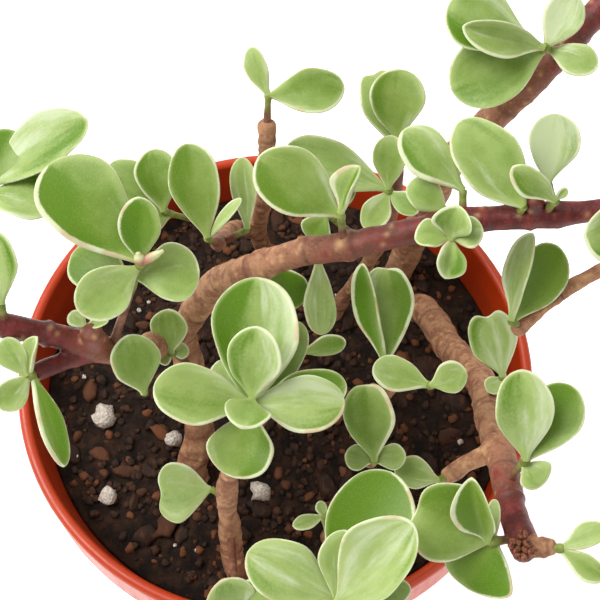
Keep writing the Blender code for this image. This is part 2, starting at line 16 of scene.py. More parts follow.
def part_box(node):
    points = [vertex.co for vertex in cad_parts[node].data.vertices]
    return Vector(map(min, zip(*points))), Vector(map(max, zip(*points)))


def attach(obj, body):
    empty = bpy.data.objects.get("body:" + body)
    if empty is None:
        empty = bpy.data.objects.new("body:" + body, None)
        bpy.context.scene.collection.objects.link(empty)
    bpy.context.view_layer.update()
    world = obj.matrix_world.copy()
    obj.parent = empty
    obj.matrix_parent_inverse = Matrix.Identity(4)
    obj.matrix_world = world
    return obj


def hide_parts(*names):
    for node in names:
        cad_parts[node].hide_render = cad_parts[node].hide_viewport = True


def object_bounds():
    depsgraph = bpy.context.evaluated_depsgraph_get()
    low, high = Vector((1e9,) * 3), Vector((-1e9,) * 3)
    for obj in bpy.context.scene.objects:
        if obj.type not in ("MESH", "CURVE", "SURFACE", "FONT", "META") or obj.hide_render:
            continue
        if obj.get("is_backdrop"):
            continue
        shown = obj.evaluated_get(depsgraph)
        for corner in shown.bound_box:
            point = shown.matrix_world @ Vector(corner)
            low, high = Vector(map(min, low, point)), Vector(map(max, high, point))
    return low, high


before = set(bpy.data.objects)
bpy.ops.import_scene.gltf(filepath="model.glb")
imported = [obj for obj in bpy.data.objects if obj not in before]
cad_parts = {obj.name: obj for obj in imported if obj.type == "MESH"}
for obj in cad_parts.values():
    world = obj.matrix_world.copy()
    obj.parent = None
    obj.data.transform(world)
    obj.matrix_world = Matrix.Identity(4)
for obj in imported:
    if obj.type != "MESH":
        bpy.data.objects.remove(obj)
cad_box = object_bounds()

MM = 0.001

# ---- sizes from the frame ----
RIM_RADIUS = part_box("pot")[1].x
POT_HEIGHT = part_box("pot")[1].z
SOIL_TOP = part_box("soil")[1].z
SOIL_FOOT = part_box("soil")[0].z

# ---- sizes of the real thing ----
BASE_RADIUS = 38 * MM
WALL = 1.5 * MM
FLOOR = 2.0 * MM
GAP = 0.3 * MM                  # between the soil and the pot
LIP_WIDTH = 2.4 * MM
BAND_HEIGHT = 15 * MM
DRAIN_HOLES = 6
DRAIN_RADIUS = 4 * MM
DRAIN_RING_RADIUS = 25 * MM
MIDDLE_RADIUS = 20 * MM         # of the floor's middle, inside the drain holes
ROOT_DEPTH = 24 * MM
ROOT_LEAN = 0.25
SOIL_CROWN = 1.2 * MM
SOIL_SHOULDER = 2 * MM          # where the clods fade out, beside the pot
CRUMB_MARGIN = 1.2 * MM         # kept free of crumbs, beside the pot
GRAIN_LIFT = 0.9 * MM           # of a perlite grain's middle, over its CAD box's middle
CORNER = 1.2 * MM               # inside the pot, between its floor and its wall
SHARP_ANGLE = 50                # degrees between faces, from which the pot's edge is sharp
WELD = 0.01 * MM

# ---- sizes on the leaves, twigs and bark, in millimetres ----
TWIG_FOOT_RADIUS = 0.8
TWIG_HEAD_RADIUS = 0.5
LEAF_SWELLING = 0.14            # on a twig, where a leaf grows
FOOT_SWELLING = 0.1             # on a twig, where it leaves the bark
COLLAR = 0.35                   # on the bark, round a twig's foot
FIRST_RING = (4.0, 9.0)         # how far up a branch its first ring is
RING_GAPS = (8, 17)
RING_HEIGHTS = (0.04, 0.13)
JOINT_HEIGHT = 0.3
JOINT_REACH = 2                 # how near a branch a joint has to be, to ring it
SPOT_HEIGHT = 0.16
LEAF_THICKNESS = 1.45
LEAF_SLENDERNESS = 3.2          # a small leaf's width over its thickness
LEAF_CUP = 0.14                 # the margins' rise, as a share of the width
LEAF_CURL = 0.08                # the tip's droop, as a share of the length
PETIOLE_RADIUS = 0.62
MARGIN_LIFT = 0.07              # the rolled margin, on the upper face
TROUGH_DEPTH = 0.16             # along the middle, on the upper face

# ---- fineness ----
POT_SIDES = 144
LEAF_RINGS = 30
LEAF_SIDES = 36
TWIG_SIDES = 14
BRANCH_SIDES = 20
STUB_STEPS = 4
BUD_SIDES = 12
BUD_STEPS = 10
FLAKES = 13
FLAKE_SIDES = 8
FLAKE_STEPS = 6
WALL_STEPS = 14
LIP_STEPS = 12
BODY_STEPS = 12
DRAIN_SIDES = 40
ROUTE_STEPS = 10
BARK_VOXEL = 0.34 * MM
SMOOTHINGS = 8
SPOT_SPACING = 190              # points of the bark's mesh for each spot
SOIL_STEP = 0.55 * MM
SOIL_SIDES = 420

# ---- stage and camera ----
FLOOR_SIZE = 6                  # metres
FLOOR_GAP = 0.5 * MM
FLOOR_GLOW = 0.75
SKY_GLOW = 0.4
LAMP_AIM = (0, 0, 0.12)
# name: (place in metres, size in metres, power in watts)
LAMPS = {
    "key": ((-0.5, 0.1, 0.85), 0.6, 9.5),
    "fill": ((0.6, -0.5, 0.7), 0.8, 1.6),
    "back": ((0.1, 0.8, 0.8), 0.8, 2.0),
}
LENS = 72
SENSOR = 36
CAMERA_PLACE = (5.0, -103.0, 310.7)
CAMERA_TILT = 27.92             # degrees from looking straight down

# ---- woody stems ----
# name: (root, branches).  A root is (share of the soil's radius, bearing in degrees).  A branch is
# (route, thickness at its foot, thickness at its tip, age at its foot, age at its tip), where 0 is
# old rough bark and 1 is young and maroon.
STEMS = {
    "main_stem": ((0.54, 230), [
        ([(-15, -14, 10), (-16, -8, 22), (-17, -4, 36)], 6.4, 5.6, 0.0, 0.15),
        ([(-17, -4, 34), (-10, -3, 49), (-3, -5, 59), (5, -6, 66), (13, -7, 70), (28, -6, 75),
          (40, -6, 77), (52, -6, 79), (64, -4, 78), (74, -2, 75)], 5.4, 2.8, 0.1, 1.1),
        ([(-17, -4, 34), (-22, -14, 46), (-28, -18, 55), (-34, -18, 60), (-42, -18, 64),
          (-51, -17, 66), (-59, -16, 67)], 5.2, 2.8, 0.2, 1.1),
        ([(-28, -18, 55), (-33, -21, 57), (-37, -24, 59)], 3.6, 2.6, 0.8, 1.0),
        ([(66, -4, 78), (63, -5, 68), (56, -6, 62), (48, -10, 60), (40, -16, 58)],
         3.2, 2.4, 0.35, 0.3),
    ]),
    "right_stem": ((0.73, 31), [
        ([(36, 3, 11), (40, -10, 22), (39, -23, 34), (39, -35, 43), (39, -43, 47),
          (40, -50, 50)], 6.8, 4.4, -0.45, 0.85),
        ([(38, -30, 40), (34, -31, 37), (30, -33, 35)], 3.6, 2.4, 0.2, 0.2),
        ([(40, -50, 50), (42, -50, 50.6), (44.2, -50, 51.2)], 2.8, 2.4, 0.2, 0.3),
    ]),
    "front_stem": ((0.84, 260), [
        ([(-8, -37, 12), (-8, -32, 28), (-5, -30, 42), (-3, -29, 50)], 4.8, 2.6, 0.0, 0.3),
    ]),
    "front_right_stem": ((0.72, 288), [
        ([(12, -40, 18), (11, -50, 34), (11, -55, 40)], 3.8, 2.6, 0.1, 0.4),
    ]),
    "middle_stem": ((0.41, 354), [
        ([(20, -9, 14), (21, -14, 30), (20, -16, 40)], 3.6, 2.6, 0.1, 0.4),
        ([(20, -9, 14), (18, -22, 26), (17, -31, 37)], 3.0, 2.4, 0.2, 0.4),
    ]),
    "rear_right_stem": ((0.80, 46), [
        ([(31, 29, 22), (34, 28, 42), (41, 29, 56), (46, 31, 62), (51, 35, 66),
          (58, 41, 71), (65, 48, 76)], 6.4, 4.6, 0.1, 0.75),
    ]),
    "rear_middle_stem": ((0.44, 53), [
        ([(17, 18, 14), (21, 19, 28), (23, 21, 40), (23, 25, 47)], 3.6, 2.4, 0.1, 0.6),
    ]),
    "rear_left_stem": ((0.64, 95), [
        ([(-4, 30, 12), (-2, 26, 34), (-1, 24, 52), (-1, 26, 57)], 4.0, 3.0, 0.0, 0.35),
        ([(-4, 30, 12), (-8, 23, 26), (-10, 13, 38), (-10, 8, 45)], 3.2, 2.4, 0.1, 0.5),
    ]),
}

# Short stubs where twigs broke off: stem, foot, tip, thickness at the foot and at the tip
STUBS = [
    ("main_stem", (-28.2, -17.6, 56), (-28.3, -17.8, 61), 4.2, 3.4),
    ("main_stem", (40.8, -5.6, 78), (40.3, -5.4, 81.2), 2.9, 2.4),
    ("right_stem", (39.8, -49.0, 49.4), (39.3, -51.2, 51.4), 3.8, 3.2),
]

# Places where a joint rings the stem
JOINTS = {
    "main_stem": [(40, -6, 77), (28, -6, 75), (12.5, -7, 70), (-35, -18, 61)],
    "right_stem": [(39, -41, 46), (42.6, -50, 51)],
}

# Unevenness of the bark: (height, size, where in the noise, whether only old bark has it)
BARK_WAVES = [
    (0.3, 2.8, (0, 0, 0), True),
    (0.12, 1.1, (9, 2, 4), True),
    (0.28, 7, (3, 7, 1), False),
]

# Buds between the top leaves of one shoot: (direction, length, radius)
BUDDED_SHOOT = "shoot_left_tall"
BUDS = [((-0.1, 0.35, 1.0), 2.0, 0.95), ((1.0, 0.25, 0.55), 4.2, 0.75)]

# Cream scars where leaves fell off
SCARS = {
    "main_stem": [(-37.2, -20.2, 65), (11.2, -7.6, 71.4), (-26.6, -19, 62.6), (-29.4, -19.2, 62.2)],
    "right_stem": [(36.6, -29.5, 43.5)],
}

# The dried end of a pruned branch
DRY_SCAR = (38.9, -50.2, 52.9)


def leaf(turn, rise, length, width, roll=0, down=0, fold=0.0, notch=0.0, dark=0.0, wide=0.0,
         pale=0.0, taper=1.08, broadest=0.62):
    """One leaf.  Turn, rise, roll, down, length and width are the CAD leaf's.  The rest is its look:
    fold lifts both halves, notch dents the tip, dark and wide say which side has the deep green
    part and the broad cream margin (+1 is on the left with the tip upwards), and pale whitens it.
    The dark side is partly the real deep green variegation and partly painted shade on the half
    turned from the light, and the other half gets a painted sheen.
    Taper is how slender its foot is, and broadest is how far out it is widest."""
    return dict(locals())


# ---- leafy shoots ----
# name: (stem, foot on the stem, tip of the twig, leaves)
SHOOTS = {
    "shoot_left_tall": ("main_stem", (-26, -17, 54), (-19.5, -11.6, 72.5), [
        leaf(138, 25, 20.5, 13, 5, dark=0.9, wide=0.8, pale=-0.35, taper=0.9, broadest=0.68),
        leaf(87, 55, 10.5, 6.5, -10, dark=0.7, wide=0.2, pale=-0.8),
        leaf(6, 5, 10, 9.5, -20, 3.5, dark=-0.3),
        leaf(-138, 0, 11.5, 8, 30, 1, dark=0.2, wide=0.4, pale=0.05),
        leaf(150, 0, 12, 8.5, 20, 5.5, dark=0.7, pale=-0.3),
    ]),
    "shoot_left_far": ("main_stem", (-50, -17, 66), (-47.2, 7.9, 64), [
        leaf(32, 20, 20, 10.5, dark=-0.5, pale=0.5),
        leaf(64, 22, 11, 8.5, -10, 0.6, dark=0.6, pale=-0.1),
        leaf(-9, 2, 12, 10.5, 10, 1.5, dark=0.8, pale=0.25),
    ]),
    "shoot_left_edge": ("main_stem", (-41.5, -18, 63.5), (-41, -17, 69), [
        leaf(95, 45, 11.5, 7, 5, dark=-0.7, wide=0.8, pale=0.7),
    ]),
    "shoot_left_hanging": ("main_stem", (-36, -23, 58), (-38, -25, 60), [
        leaf(130, 35, 7, 5, 25, pale=0.3),
        leaf(70, 55, 7, 3.5, 30, 0.5, fold=0.4),
        leaf(-125, 0, 7, 5, 25, 0.5, pale=0.3),
        leaf(-66, -15, 15.5, 4.4, 25, 1, dark=0.9, wide=-1, pale=-0.6),
    ]),
    "shoot_left_bud": ("main_stem", (-30, -18, 57), (-29.3, -16.5, 60.5), [
        leaf(146, 25, 3.5, 3, 10, 0.2, pale=0.3),
        leaf(7, 25, 4, 2.4, 0, 0.2, fold=0.4, pale=0.1),
    ]),
    "shoot_left_low": ("main_stem", (-21, -12, 44), (-20.8, -23.7, 50), [
        leaf(107, 50, 10.5, 8.2, -5, dark=0.3, pale=-0.05),
    ]),
    "shoot_crown_small": ("main_stem", (-16, -7, 26), (-17.6, -12.4, 42), [
        leaf(93, 50, 8, 6.6, 5, pale=0.15),
        leaf(9, 10, 3, 3, -20, 0.8, pale=0.4),
        leaf(-145, 10, 3, 3, 20, 0.8, pale=0.4),
    ]),
    "rosette_front": ("front_stem", (-3, -29, 48), (-2.4, -29.5, 61), [
        leaf(84, 50, 12, 8.5, 5, dark=0.95, wide=-0.3, pale=0.2),
        leaf(-99, 45, 9.5, 7.2, 10, dark=0.3, pale=0.1),
        leaf(177, 15, 15.5, 9.4, 25, 1.5, dark=0.1, wide=0.2, pale=0.15),
        leaf(-5, 10, 14.5, 9, -25, 1.5, dark=-0.2, wide=-0.6, pale=0.6),
        leaf(87, 30, 21, 13.8, -5, 4.5, dark=0.9, wide=-0.7, pale=0.15),
        leaf(-104, -10, 11, 10.5, 5, 4.5, dark=0.5, wide=0.4, pale=-0.3),
        leaf(14, 6, 15.5, 7.5, -15, 4, dark=0.4, pale=-0.4),
        leaf(124, 15, 10.5, 7, 10, 7, pale=0.2),
        leaf(63, 12, 17.5, 7, -5, 7, pale=-0.1),
    ]),
    "shoot_under_dark": ("main_stem", (-1, -6, 60), (0, -2, 55), [
        leaf(-50, -35, 9, 7.5, -20, dark=0.8, pale=-0.9),
    ]),
    "shoot_under_pale": ("main_stem", (8, -6, 67), (8, -3, 59), [
        leaf(-86, -50, 14.5, 5.5, -5, pale=0.45),
    ]),
    "shoot_soil_low": ("front_stem", (-8, -32, 28), (5.4, -5.7, 28), [
        leaf(9, 15, 8.5, 4, -20, pale=-0.3),
    ]),
    "shoot_middle_pair": ("middle_stem", (20, -16, 38), (19.7, -16.2, 45), [
        leaf(111, 38, 18, 5.5, 55, fold=0.3, dark=0.8, wide=0.7, pale=-0.6),
        leaf(89, 35, 18, 9, 0, 0.8, notch=0.12, dark=-0.95, wide=-0.4, pale=-0.15),
    ]),
    "shoot_middle_right": ("middle_stem", (21, -14, 32), (26.9, -21.8, 49), [
        leaf(162, 6, 10, 6, 20, 0.6, wide=0.5),
        leaf(12, 30, 6.5, 5.5, -25, 0.2, dark=-0.4, pale=0.25),
    ]),
    "shoot_middle_front": ("middle_stem", (17.2, -29.4, 35), (17.5, -32.5, 42), [
        leaf(100, 45, 14, 8.5, 10, notch=0.08, dark=0.6, wide=-0.8, pale=-0.15),
        leaf(175, 15, 5, 4.5, 20, 1, pale=0.3),
        leaf(5, 20, 5.5, 4.5, -20, 1, pale=0.2),
    ]),
    "shoot_front_big": ("front_right_stem", (11, -53.3, 38), (10.6, -57.4, 47), [
        leaf(35, 52, 20, 11, -5, fold=0.2, dark=-0.3, wide=0.2, pale=0.7),
        leaf(82, 42, 11.5, 7, 5, 1.5, pale=0.35),
        leaf(64, 25, 21.5, 13.6, 0, 2.5, dark=0.3, wide=-0.5, pale=-0.6),
        leaf(159, 25, 16, 9.6, 15, 3, dark=0.3, pale=0.5),
        leaf(5, 0, 12, 5, -25, 4, pale=-0.2),
    ]),
    "shoot_front_sliver": ("front_right_stem", (11.2, -48.2, 31), (9, -41, 39), [
        leaf(-161, 5, 5.5, 2.6, 15, 0.2, pale=0.4),
        leaf(109, 25, 3, 2, 15, 0.6, pale=0.5),
    ]),
    "shoot_front_left": ("front_stem", (-8, -36.4, 14), (-5.5, -55, 30), [
        leaf(125, 65, 8.5, 8.5, 10, pale=0.3),
        leaf(15, 50, 9, 6.5, -20, 1, pale=0.2),
    ]),
    "shoot_right_end": ("right_stem", (39, -48, 49.5), (34.1, -49.2, 51), [
        leaf(164, 22, 14.5, 12.5, 20, 1, notch=0.1, dark=-0.7, wide=0.2, pale=-0.25),
        leaf(121, 55, 12.5, 6.6, 45, fold=0.9, dark=0.8, wide=0.9, pale=-0.5),
        leaf(-123, -30, 9, 11.5, 5, 1.5, dark=0.8, pale=-0.8),
        leaf(89, 20, 6.5, 2.5, 30, 1, pale=0.4),
    ]),
    "shoot_right_stub": ("right_stem", (31, -33, 35.5), (28.8, -33.8, 36), [
        leaf(169, 18, 8, 5.6, 20, pale=0.3),
    ]),
    "shoot_right_upright": ("right_stem", (39, -37, 44), (40.4, -37.2, 55), [
        leaf(99, 48, 15, 9, 12, dark=0.1, wide=-0.3, pale=0.45),
        leaf(54, 25, 14, 8.8, 0, 0.5, dark=0.9, pale=-0.9),
        leaf(-49, 0, 4.5, 5.8, -10, 1.6, dark=-0.3, pale=0.1),
    ]),
    "shoot_right_heart": ("right_stem", (40, -15, 27), (40.5, -16.5, 41), [
        leaf(114, 45, 13, 8.5, 20, notch=0.22, dark=0.4, pale=0.5),
        leaf(-141, -10, 3.5, 3.4, 10, 1, pale=0.3),
    ]),
    "shoot_right_twig": ("right_stem", (42.2, -50, 50.7), (45.5, -50.5, 52.2), [
        leaf(22, 25, 7.5, 4, 5, 0.3, dark=0.4),
        leaf(-38, 0, 8, 4, -30, 0.6, dark=0.4, wide=-0.7),
    ]),
    "shoot_hanging_tip": ("main_stem", (41, -15.5, 58.2), (39, -15.5, 60.5), [
        leaf(80, 42, 14.5, 5.4, 45, fold=0.3, wide=0.9, pale=0.5),
        leaf(55, 22, 14.5, 8.5, -25, 0.5, dark=0.9, pale=-0.9),
    ]),
    "shoot_branch_low": ("main_stem", (28, -6, 75), (27.8, -10.1, 77), [
        leaf(78, 58, 5.5, 6.2, 10, fold=0.5, dark=0.5, wide=0.7, pale=0.1),
        leaf(-97, -10, 6.5, 5, 20, 0.5, fold=0.4, dark=0.7, wide=-0.6, broadest=0.72),
        leaf(180, 5, 5.5, 5, 0, 0.4, fold=0.3, pale=0.1),
        leaf(2, 25, 5, 5, -20, 0.5, pale=0.2),
    ]),
    "shoot_branch_top": ("main_stem", (42, -6, 77), (42.8, -6.7, 82.5), [
        leaf(166, 38, 9, 4.5, 60, dark=0.4, wide=0.5),
        leaf(39, 30, 2.5, 1.6, -35),
    ]),
    "shoot_branch_broad": ("main_stem", (38, -6, 77), (38.5, -6.5, 80.5), [
        leaf(132, 25, 16, 9.5, 25, dark=0.2, wide=0.3, pale=0.1, taper=0.8, broadest=0.52),
    ]),
    "shoot_branch_pale": ("main_stem", (44, -6, 77.5), (42.7, -2, 80), [
        leaf(83, 38, 10.5, 7.8, dark=-0.6, pale=1.6),
    ]),
    "shoot_branch_stalk": ("main_stem", (30, -6, 75), (30, -2, 78), [
        leaf(142, 25, 13, 7.2, 25, dark=0.6, wide=0.8, pale=0.1),
    ]),
    "shoot_branch_small": ("main_stem", (27, -6, 74.6), (27.6, -4.3, 75), [
        leaf(142, 20, 7.5, 5.5, 20, pale=0.05),
    ]),
    "shoot_rear_top": ("rear_middle_stem", (23, 23.8, 45), (23, 26.5, 51), [
        leaf(93, 45, 13, 10.2, 5, dark=0.7),
        leaf(109, 22, 16, 8, 15, 1.5, notch=0.15, dark=0.3),
    ]),
    "shoot_rear_low": ("rear_middle_stem", (22.5, 20.5, 38), (21.3, 19.1, 46), [
        leaf(88, 48, 10, 6.3, 10, pale=0.1),
        leaf(-118, 0, 9, 5.5, 10, 1, pale=0.3),
        leaf(-44, 5, 7, 4.2, -25, 1, pale=-0.4),
        leaf(163, 18, 20.5, 9.2, 15, 0.4, dark=-0.3, pale=0.1),
    ]),
    "shoot_rear_dark": ("rear_middle_stem", (20, 18.5, 25), (10, 16, 42), [
        leaf(-132, -25, 5.5, 6, 20, pale=-0.4),
        leaf(60, 30, 9, 6, -10, 0.5, pale=-0.2),
    ]),
    "shoot_branch_standing": ("main_stem", (12, -7, 69.5), (11.2, -5.2, 76.5), [
        leaf(63, 50, 8, 4.8, 30, fold=0.7, dark=-0.9, wide=0.9),
        leaf(155, 28, 15.5, 10.2, 30, 0.6, dark=0.6, wide=0.3, pale=-0.15),
    ]),
    "shoot_back_tall": ("rear_left_stem", (-10, 9, 43), (-11.4, 6.2, 50), [
        leaf(105, 38, 17, 9, 5, dark=0.6, wide=-0.3, pale=-0.2),
        leaf(40, 40, 9.5, 2.6, 10, 0.5, pale=0.2),
    ]),
    "shoot_back_pale": ("rear_left_stem", (-10, 11, 40), (-4.6, 10.5, 46), [
        leaf(95, 35, 13, 5, pale=0.3),
    ]),
    "shoot_back_left": ("rear_left_stem", (-8, 22, 27), (-20.8, 17.9, 40), [
        leaf(101, 35, 12, 8.2, dark=0.5, pale=-0.2),
        leaf(144, 22, 14.5, 7.5, 15, 1.2, dark=0.3, pale=-0.1),
        leaf(-150, 20, 9, 6, 20, 2, pale=-0.2),
    ]),
    "shoot_back_twig": ("rear_left_stem", (-1, 25.5, 56), (-0.6, 28, 62.5), [
        leaf(118, 35, 9, 4.5, 40, pale=0.2),
        leaf(0, 10, 13.5, 8, -35, wide=-0.5),
    ]),
    "shoot_rear_end": ("rear_right_stem", (50.5, 34.5, 66), (46.5, 30, 73), [
        leaf(166, 18, 18, 11, 30, dark=0.6, wide=0.2, pale=-0.1, taper=1.9, broadest=0.72),
        leaf(-177, 22, 15.5, 6, 55, 0.5, fold=0.6, dark=0.3, wide=0.6, pale=0.1),
        leaf(-161, -12, 17.5, 12, 25, 1.5, dark=0.3, pale=-0.05),
        leaf(55, 32, 10, 7, -5, 0.5, dark=-0.4, wide=0.6, pale=1.3),
        leaf(-34, 10, 9, 5.6, -35, 2.5, wide=-0.6, pale=0.2),
    ]),
    "shoot_rear_tip": ("rear_right_stem", (64, 47, 75.5), (68, 51, 80), [
        leaf(15, 30, 13, 8, -10),
        leaf(95, 35, 12, 8, 5),
        leaf(-75, 20, 11, 7.5, -20, 1.5),
        leaf(160, 15, 12, 8, 25, 1.5),
    ]),
    "shoot_right_far": ("main_stem", (53, -6, 79), (54, -11, 81), [
        leaf(-159, 20, 8.5, 8.5, 40, dark=0.5, wide=0.5, pale=0.2),
        leaf(-60, 15, 11, 7.5, -15, 0.5),
    ]),
    "shoot_main_tip": ("main_stem", (73, -2.2, 75.3), (79, 0, 76), [
        leaf(60, 25, 12, 8, 0, 1.4),
        leaf(-70, 15, 12.5, 8, 0, 1.7),
        leaf(-20, 45, 9, 6.5, -10, 0.3),
        leaf(160, 60, 7.5, 5.5, 20, 0.5),
    ]),
    "shoot_main_upper": ("main_stem", (63, -4, 78), (62, -2.5, 85), [
        leaf(95, 20, 12, 8, 5, 1),
        leaf(-90, 25, 11, 7.5, -5, 1),
        leaf(10, 50, 7, 5),
        leaf(-170, 45, 7, 5),
    ]),
    "shoot_left_tip": ("main_stem", (-58, -16.1, 66.9), (-64, -15, 69), [
        leaf(110, 20, 12.5, 8.5, 5, 0.5),
        leaf(-105, 15, 13, 8.5, 5, 0.5),
        leaf(180, 40, 9, 6.5),
    ]),
    "shoot_left_upper": ("main_stem", (-52, -17, 66.1), (-52.5, -14, 73), [
        leaf(20, 35, 8, 6, -10),
        leaf(-160, 30, 9, 6.5, 10),
    ]),
    "shoot_old_low": ("front_stem", (-8, -33.2, 24), (-11.1, -31.3, 24), [
        leaf(-177, -5, 10.5, 11, 15, notch=0.1, pale=0.5),
    ]),
}


# ---- node materials ----
def rgb(code):
    """A linear colour from an sRGB code such as 86ac52."""
    parts = [int(code[index:index + 2], 16) / 255 for index in (0, 2, 4)]
    return tuple(c / 12.92 if c <= 0.04045 else ((c + 0.055) / 1.055) ** 2.4 for c in parts) + (1.0,)


class Painter:
    """Builds one procedural material out of nodes."""

    def __init__(self, name):
        self.material = bpy.data.materials.new(name)
        self.material.use_nodes = True
        self.tree = self.material.node_tree
        self.shader = self.tree.nodes["Principled BSDF"]
        self.coordinates = self.node("TexCoord").outputs["Object"]

    def node(self, kind):
        return self.tree.nodes.new("ShaderNode" + kind)

    def put(self, socket, value):
        """A node's output, a number or a colour code into a socket."""
        if isinstance(value, bpy.types.NodeSocket):
            self.tree.links.new(value, socket)
        else:
            socket.default_value = rgb(value) if isinstance(value, str) else value

    def attributes(self, *names):
        for name in names:
            node = self.node("Attribute")
            node.attribute_name = name
            yield node.outputs["Fac"]

    def calculate(self, operation, first, second, clamp=False):
        node = self.node("Math")
        node.operation = operation
        node.use_clamp = clamp
        self.put(node.inputs[0], first)
        self.put(node.inputs[1], second)
        return node.outputs[0]

    def add(self, first, second, clamp=False):
        return self.calculate("ADD", first, second, clamp)

    def less(self, first, second):
        return self.calculate("SUBTRACT", first, second)

    def times(self, first, second):
        return self.calculate("MULTIPLY", first, second)

    def stretched(self, scale):
        node = self.node("Mapping")
        self.put(node.inputs["Vector"], self.coordinates)
        node.inputs["Scale"].default_value = scale
        return node.outputs["Vector"]

    def vector(self, x, y, z):
        node = self.node("CombineXYZ")
        for socket, given in zip(node.inputs, (x, y, z)):
            self.put(socket, given)
        return node.outputs["Vector"]

    def centred(self, value, strength):
        """A value that lies about one half, moved to lie about nought and made stronger."""
        return self.times(self.less(value, 0.5), strength)

    def noise(self, size, detail=3.0, roughness=0.55, vector=None, unit=MM):
        """Soft noise with features of that size, in millimetres or in a vector's own unit."""
        node = self.node("TexNoise")
        self.put(node.inputs["Vector"], vector or self.coordinates)
        node.inputs["Scale"].default_value = 1 / (size * unit)
        node.inputs["Detail"].default_value = detail
        node.inputs["Roughness"].default_value = roughness
        return node.outputs["Fac"]

    def cells(self, size):
        """Distance from the middle of cells of that size, in millimetres."""
        node = self.node("TexVoronoi")
        self.put(node.inputs["Vector"], self.coordinates)
        node.inputs["Scale"].default_value = 1 / (size * MM)
        return node.outputs["Distance"]

    def step(self, value, start, end, low=0.0, high=1.0):
        """A smooth step from low to high as value goes from start to end."""
        node = self.node("MapRange")
        node.interpolation_type = "SMOOTHSTEP"
        for socket, given in zip(node.inputs[:5], (value, start, end, low, high)):
            self.put(socket, given)
        return node.outputs["Result"]

    def mix(self, share, first, second):
        node = self.node("Mix")
        node.data_type = "RGBA"
        self.put(node.inputs["Factor"], share)
        self.put(node.inputs[6], first)
        self.put(node.inputs[7], second)
        return node.outputs[2]

    def bump(self, height, strength, distance):
        node = self.node("Bump")
        self.put(node.inputs["Height"], height)
        node.inputs["Strength"].default_value = strength
        node.inputs["Distance"].default_value = distance * MM
        self.put(self.shader.inputs["Normal"], node.outputs["Normal"])

    def finish(self, colour, roughness, shine):
        self.put(self.shader.inputs["Base Color"], colour)
        self.put(self.shader.inputs["Roughness"], roughness)
        self.put(self.shader.inputs["Specular IOR Level"], shine)
        return self.material


def leaf_material():
    p = Painter("variegated_leaf")
    edge, across, along, upper = p.attributes("edge", "across", "along", "upper")
    dark, wide, pale, tone = p.attributes("dark", "wide", "pale", "tone")
    blotch = p.noise(3.2, 3)
    fine = p.noise(0.45, 3, 0.65)
    papillae = p.cells(0.24)
    grain = p.centred(fine, 0.3)

    # sectors of light and dark tissue run along the leaf, and differ from leaf to leaf
    on_leaf = p.vector(p.times(across, 0.55), p.times(along, 0.35), p.times(tone, 40))
    sector = p.centred(p.noise(0.55, 3, 0.6, on_leaf, 1.0), 1.7)
    # side picks the half that dark names: partly real deep green variegation, partly painted shade on
    # the half turned from the light
    side = p.times(across, dark)

    # the cream margin is broad on one side, and its inner border wanders
    lean = p.calculate("MAXIMUM", p.times(p.times(across, wide), 0.75), -0.05)
    border = p.add(p.add(p.step(blotch, 0.3, 0.7, 0.0, 0.2), lean), grain)
    inside = p.step(edge, p.less(border, 0.1), p.add(border, 0.3))

    green = p.add(p.step(edge, 0.2, 1.8, 0.15, 0.65), p.centred(blotch, 0.8))
    green = p.add(green, p.times(sector, 0.45))
    green = p.less(green, p.times(pale, 0.8))
    green = p.add(p.add(green, grain), p.times(side, 0.3), True)
    colour = p.mix(green, "a6ba70", "6a8a2a")
    # the deep green mask: real variegation, plus painted shade on the half that side picks
    patch = p.add(p.times(side, 0.95), p.times(sector, 0.8))
    patch = p.add(patch, p.times(p.less(along, 0.6), 0.5))
    patch = p.add(patch, grain)
    vivid = p.calculate("MAXIMUM", p.times(pale, -1), 0.0)
    patch = p.add(patch, p.times(vivid, 0.55))
    deep = p.times(p.step(patch, 0.12, 0.58, 0.0, 0.95), p.step(edge, 0.1, 0.9))
    colour = p.mix(deep, colour, "547d03")
    # whitening towards ced8b4: partly pale variegation, partly a painted sheen on the half away from
    # the dark side
    white = p.add(p.times(pale, 0.6), p.times(patch, -0.7))
    white = p.add(white, p.centred(p.noise(0.22, 3, 0.6, on_leaf, 1.0), 2.2))
    colour = p.mix(p.step(white, 0.2, 0.95, 0.0, 0.75), colour, "ced8b4")
    colour = p.mix(p.times(tone, 0.3), colour, "73822f")
    colour = p.mix(p.step(papillae, 0.12, 0.45, 0.14, 0.0), colour, "aec281")

    tint = p.step(p.noise(4.5, 2), 0.5, 0.7, 0.0, 0.7)
    cream = p.mix(tint, "d6dcb2", "c8ab84")
    colour = p.mix(inside, cream, colour)
    colour = p.mix(p.step(along, 0.0, 0.22, 0.7, 0.0), colour, "93a854")
    colour = p.mix(p.times(p.less(1.0, upper), 0.2), colour, "7c9a4c")
    p.bump(p.add(p.times(papillae, -0.5), p.times(fine, 0.9)), 0.3, 0.12)
    return p.finish(colour, p.step(fine, 0.3, 0.7, 0.4, 0.52), 0.3)


def twig_material():
    p = Painter("green_twig")
    along, length = p.attributes("along", "length")
    blotch = p.noise(1.6, 4)
    colour = p.mix(p.step(blotch, 0.35, 0.7), "8c9548", "66742c")
    # long twigs are woody nearly all the way, and short ones are green
    green_from = p.step(length, 2.0, 9.0, 0.68, 0.8)
    reach = p.add(along, p.centred(blotch, 0.4))
    woody = p.step(reach, p.less(green_from, 0.3), green_from, 0.95, 0.0)
    colour = p.mix(woody, colour, p.mix(p.step(blotch, 0.4, 0.62), "6d3a30", "8d5f48"))
    p.bump(p.noise(0.4, 4, 0.65), 0.4, 0.15)
    return p.finish(colour, p.step(blotch, 0.3, 0.7, 0.45, 0.62), 0.35)


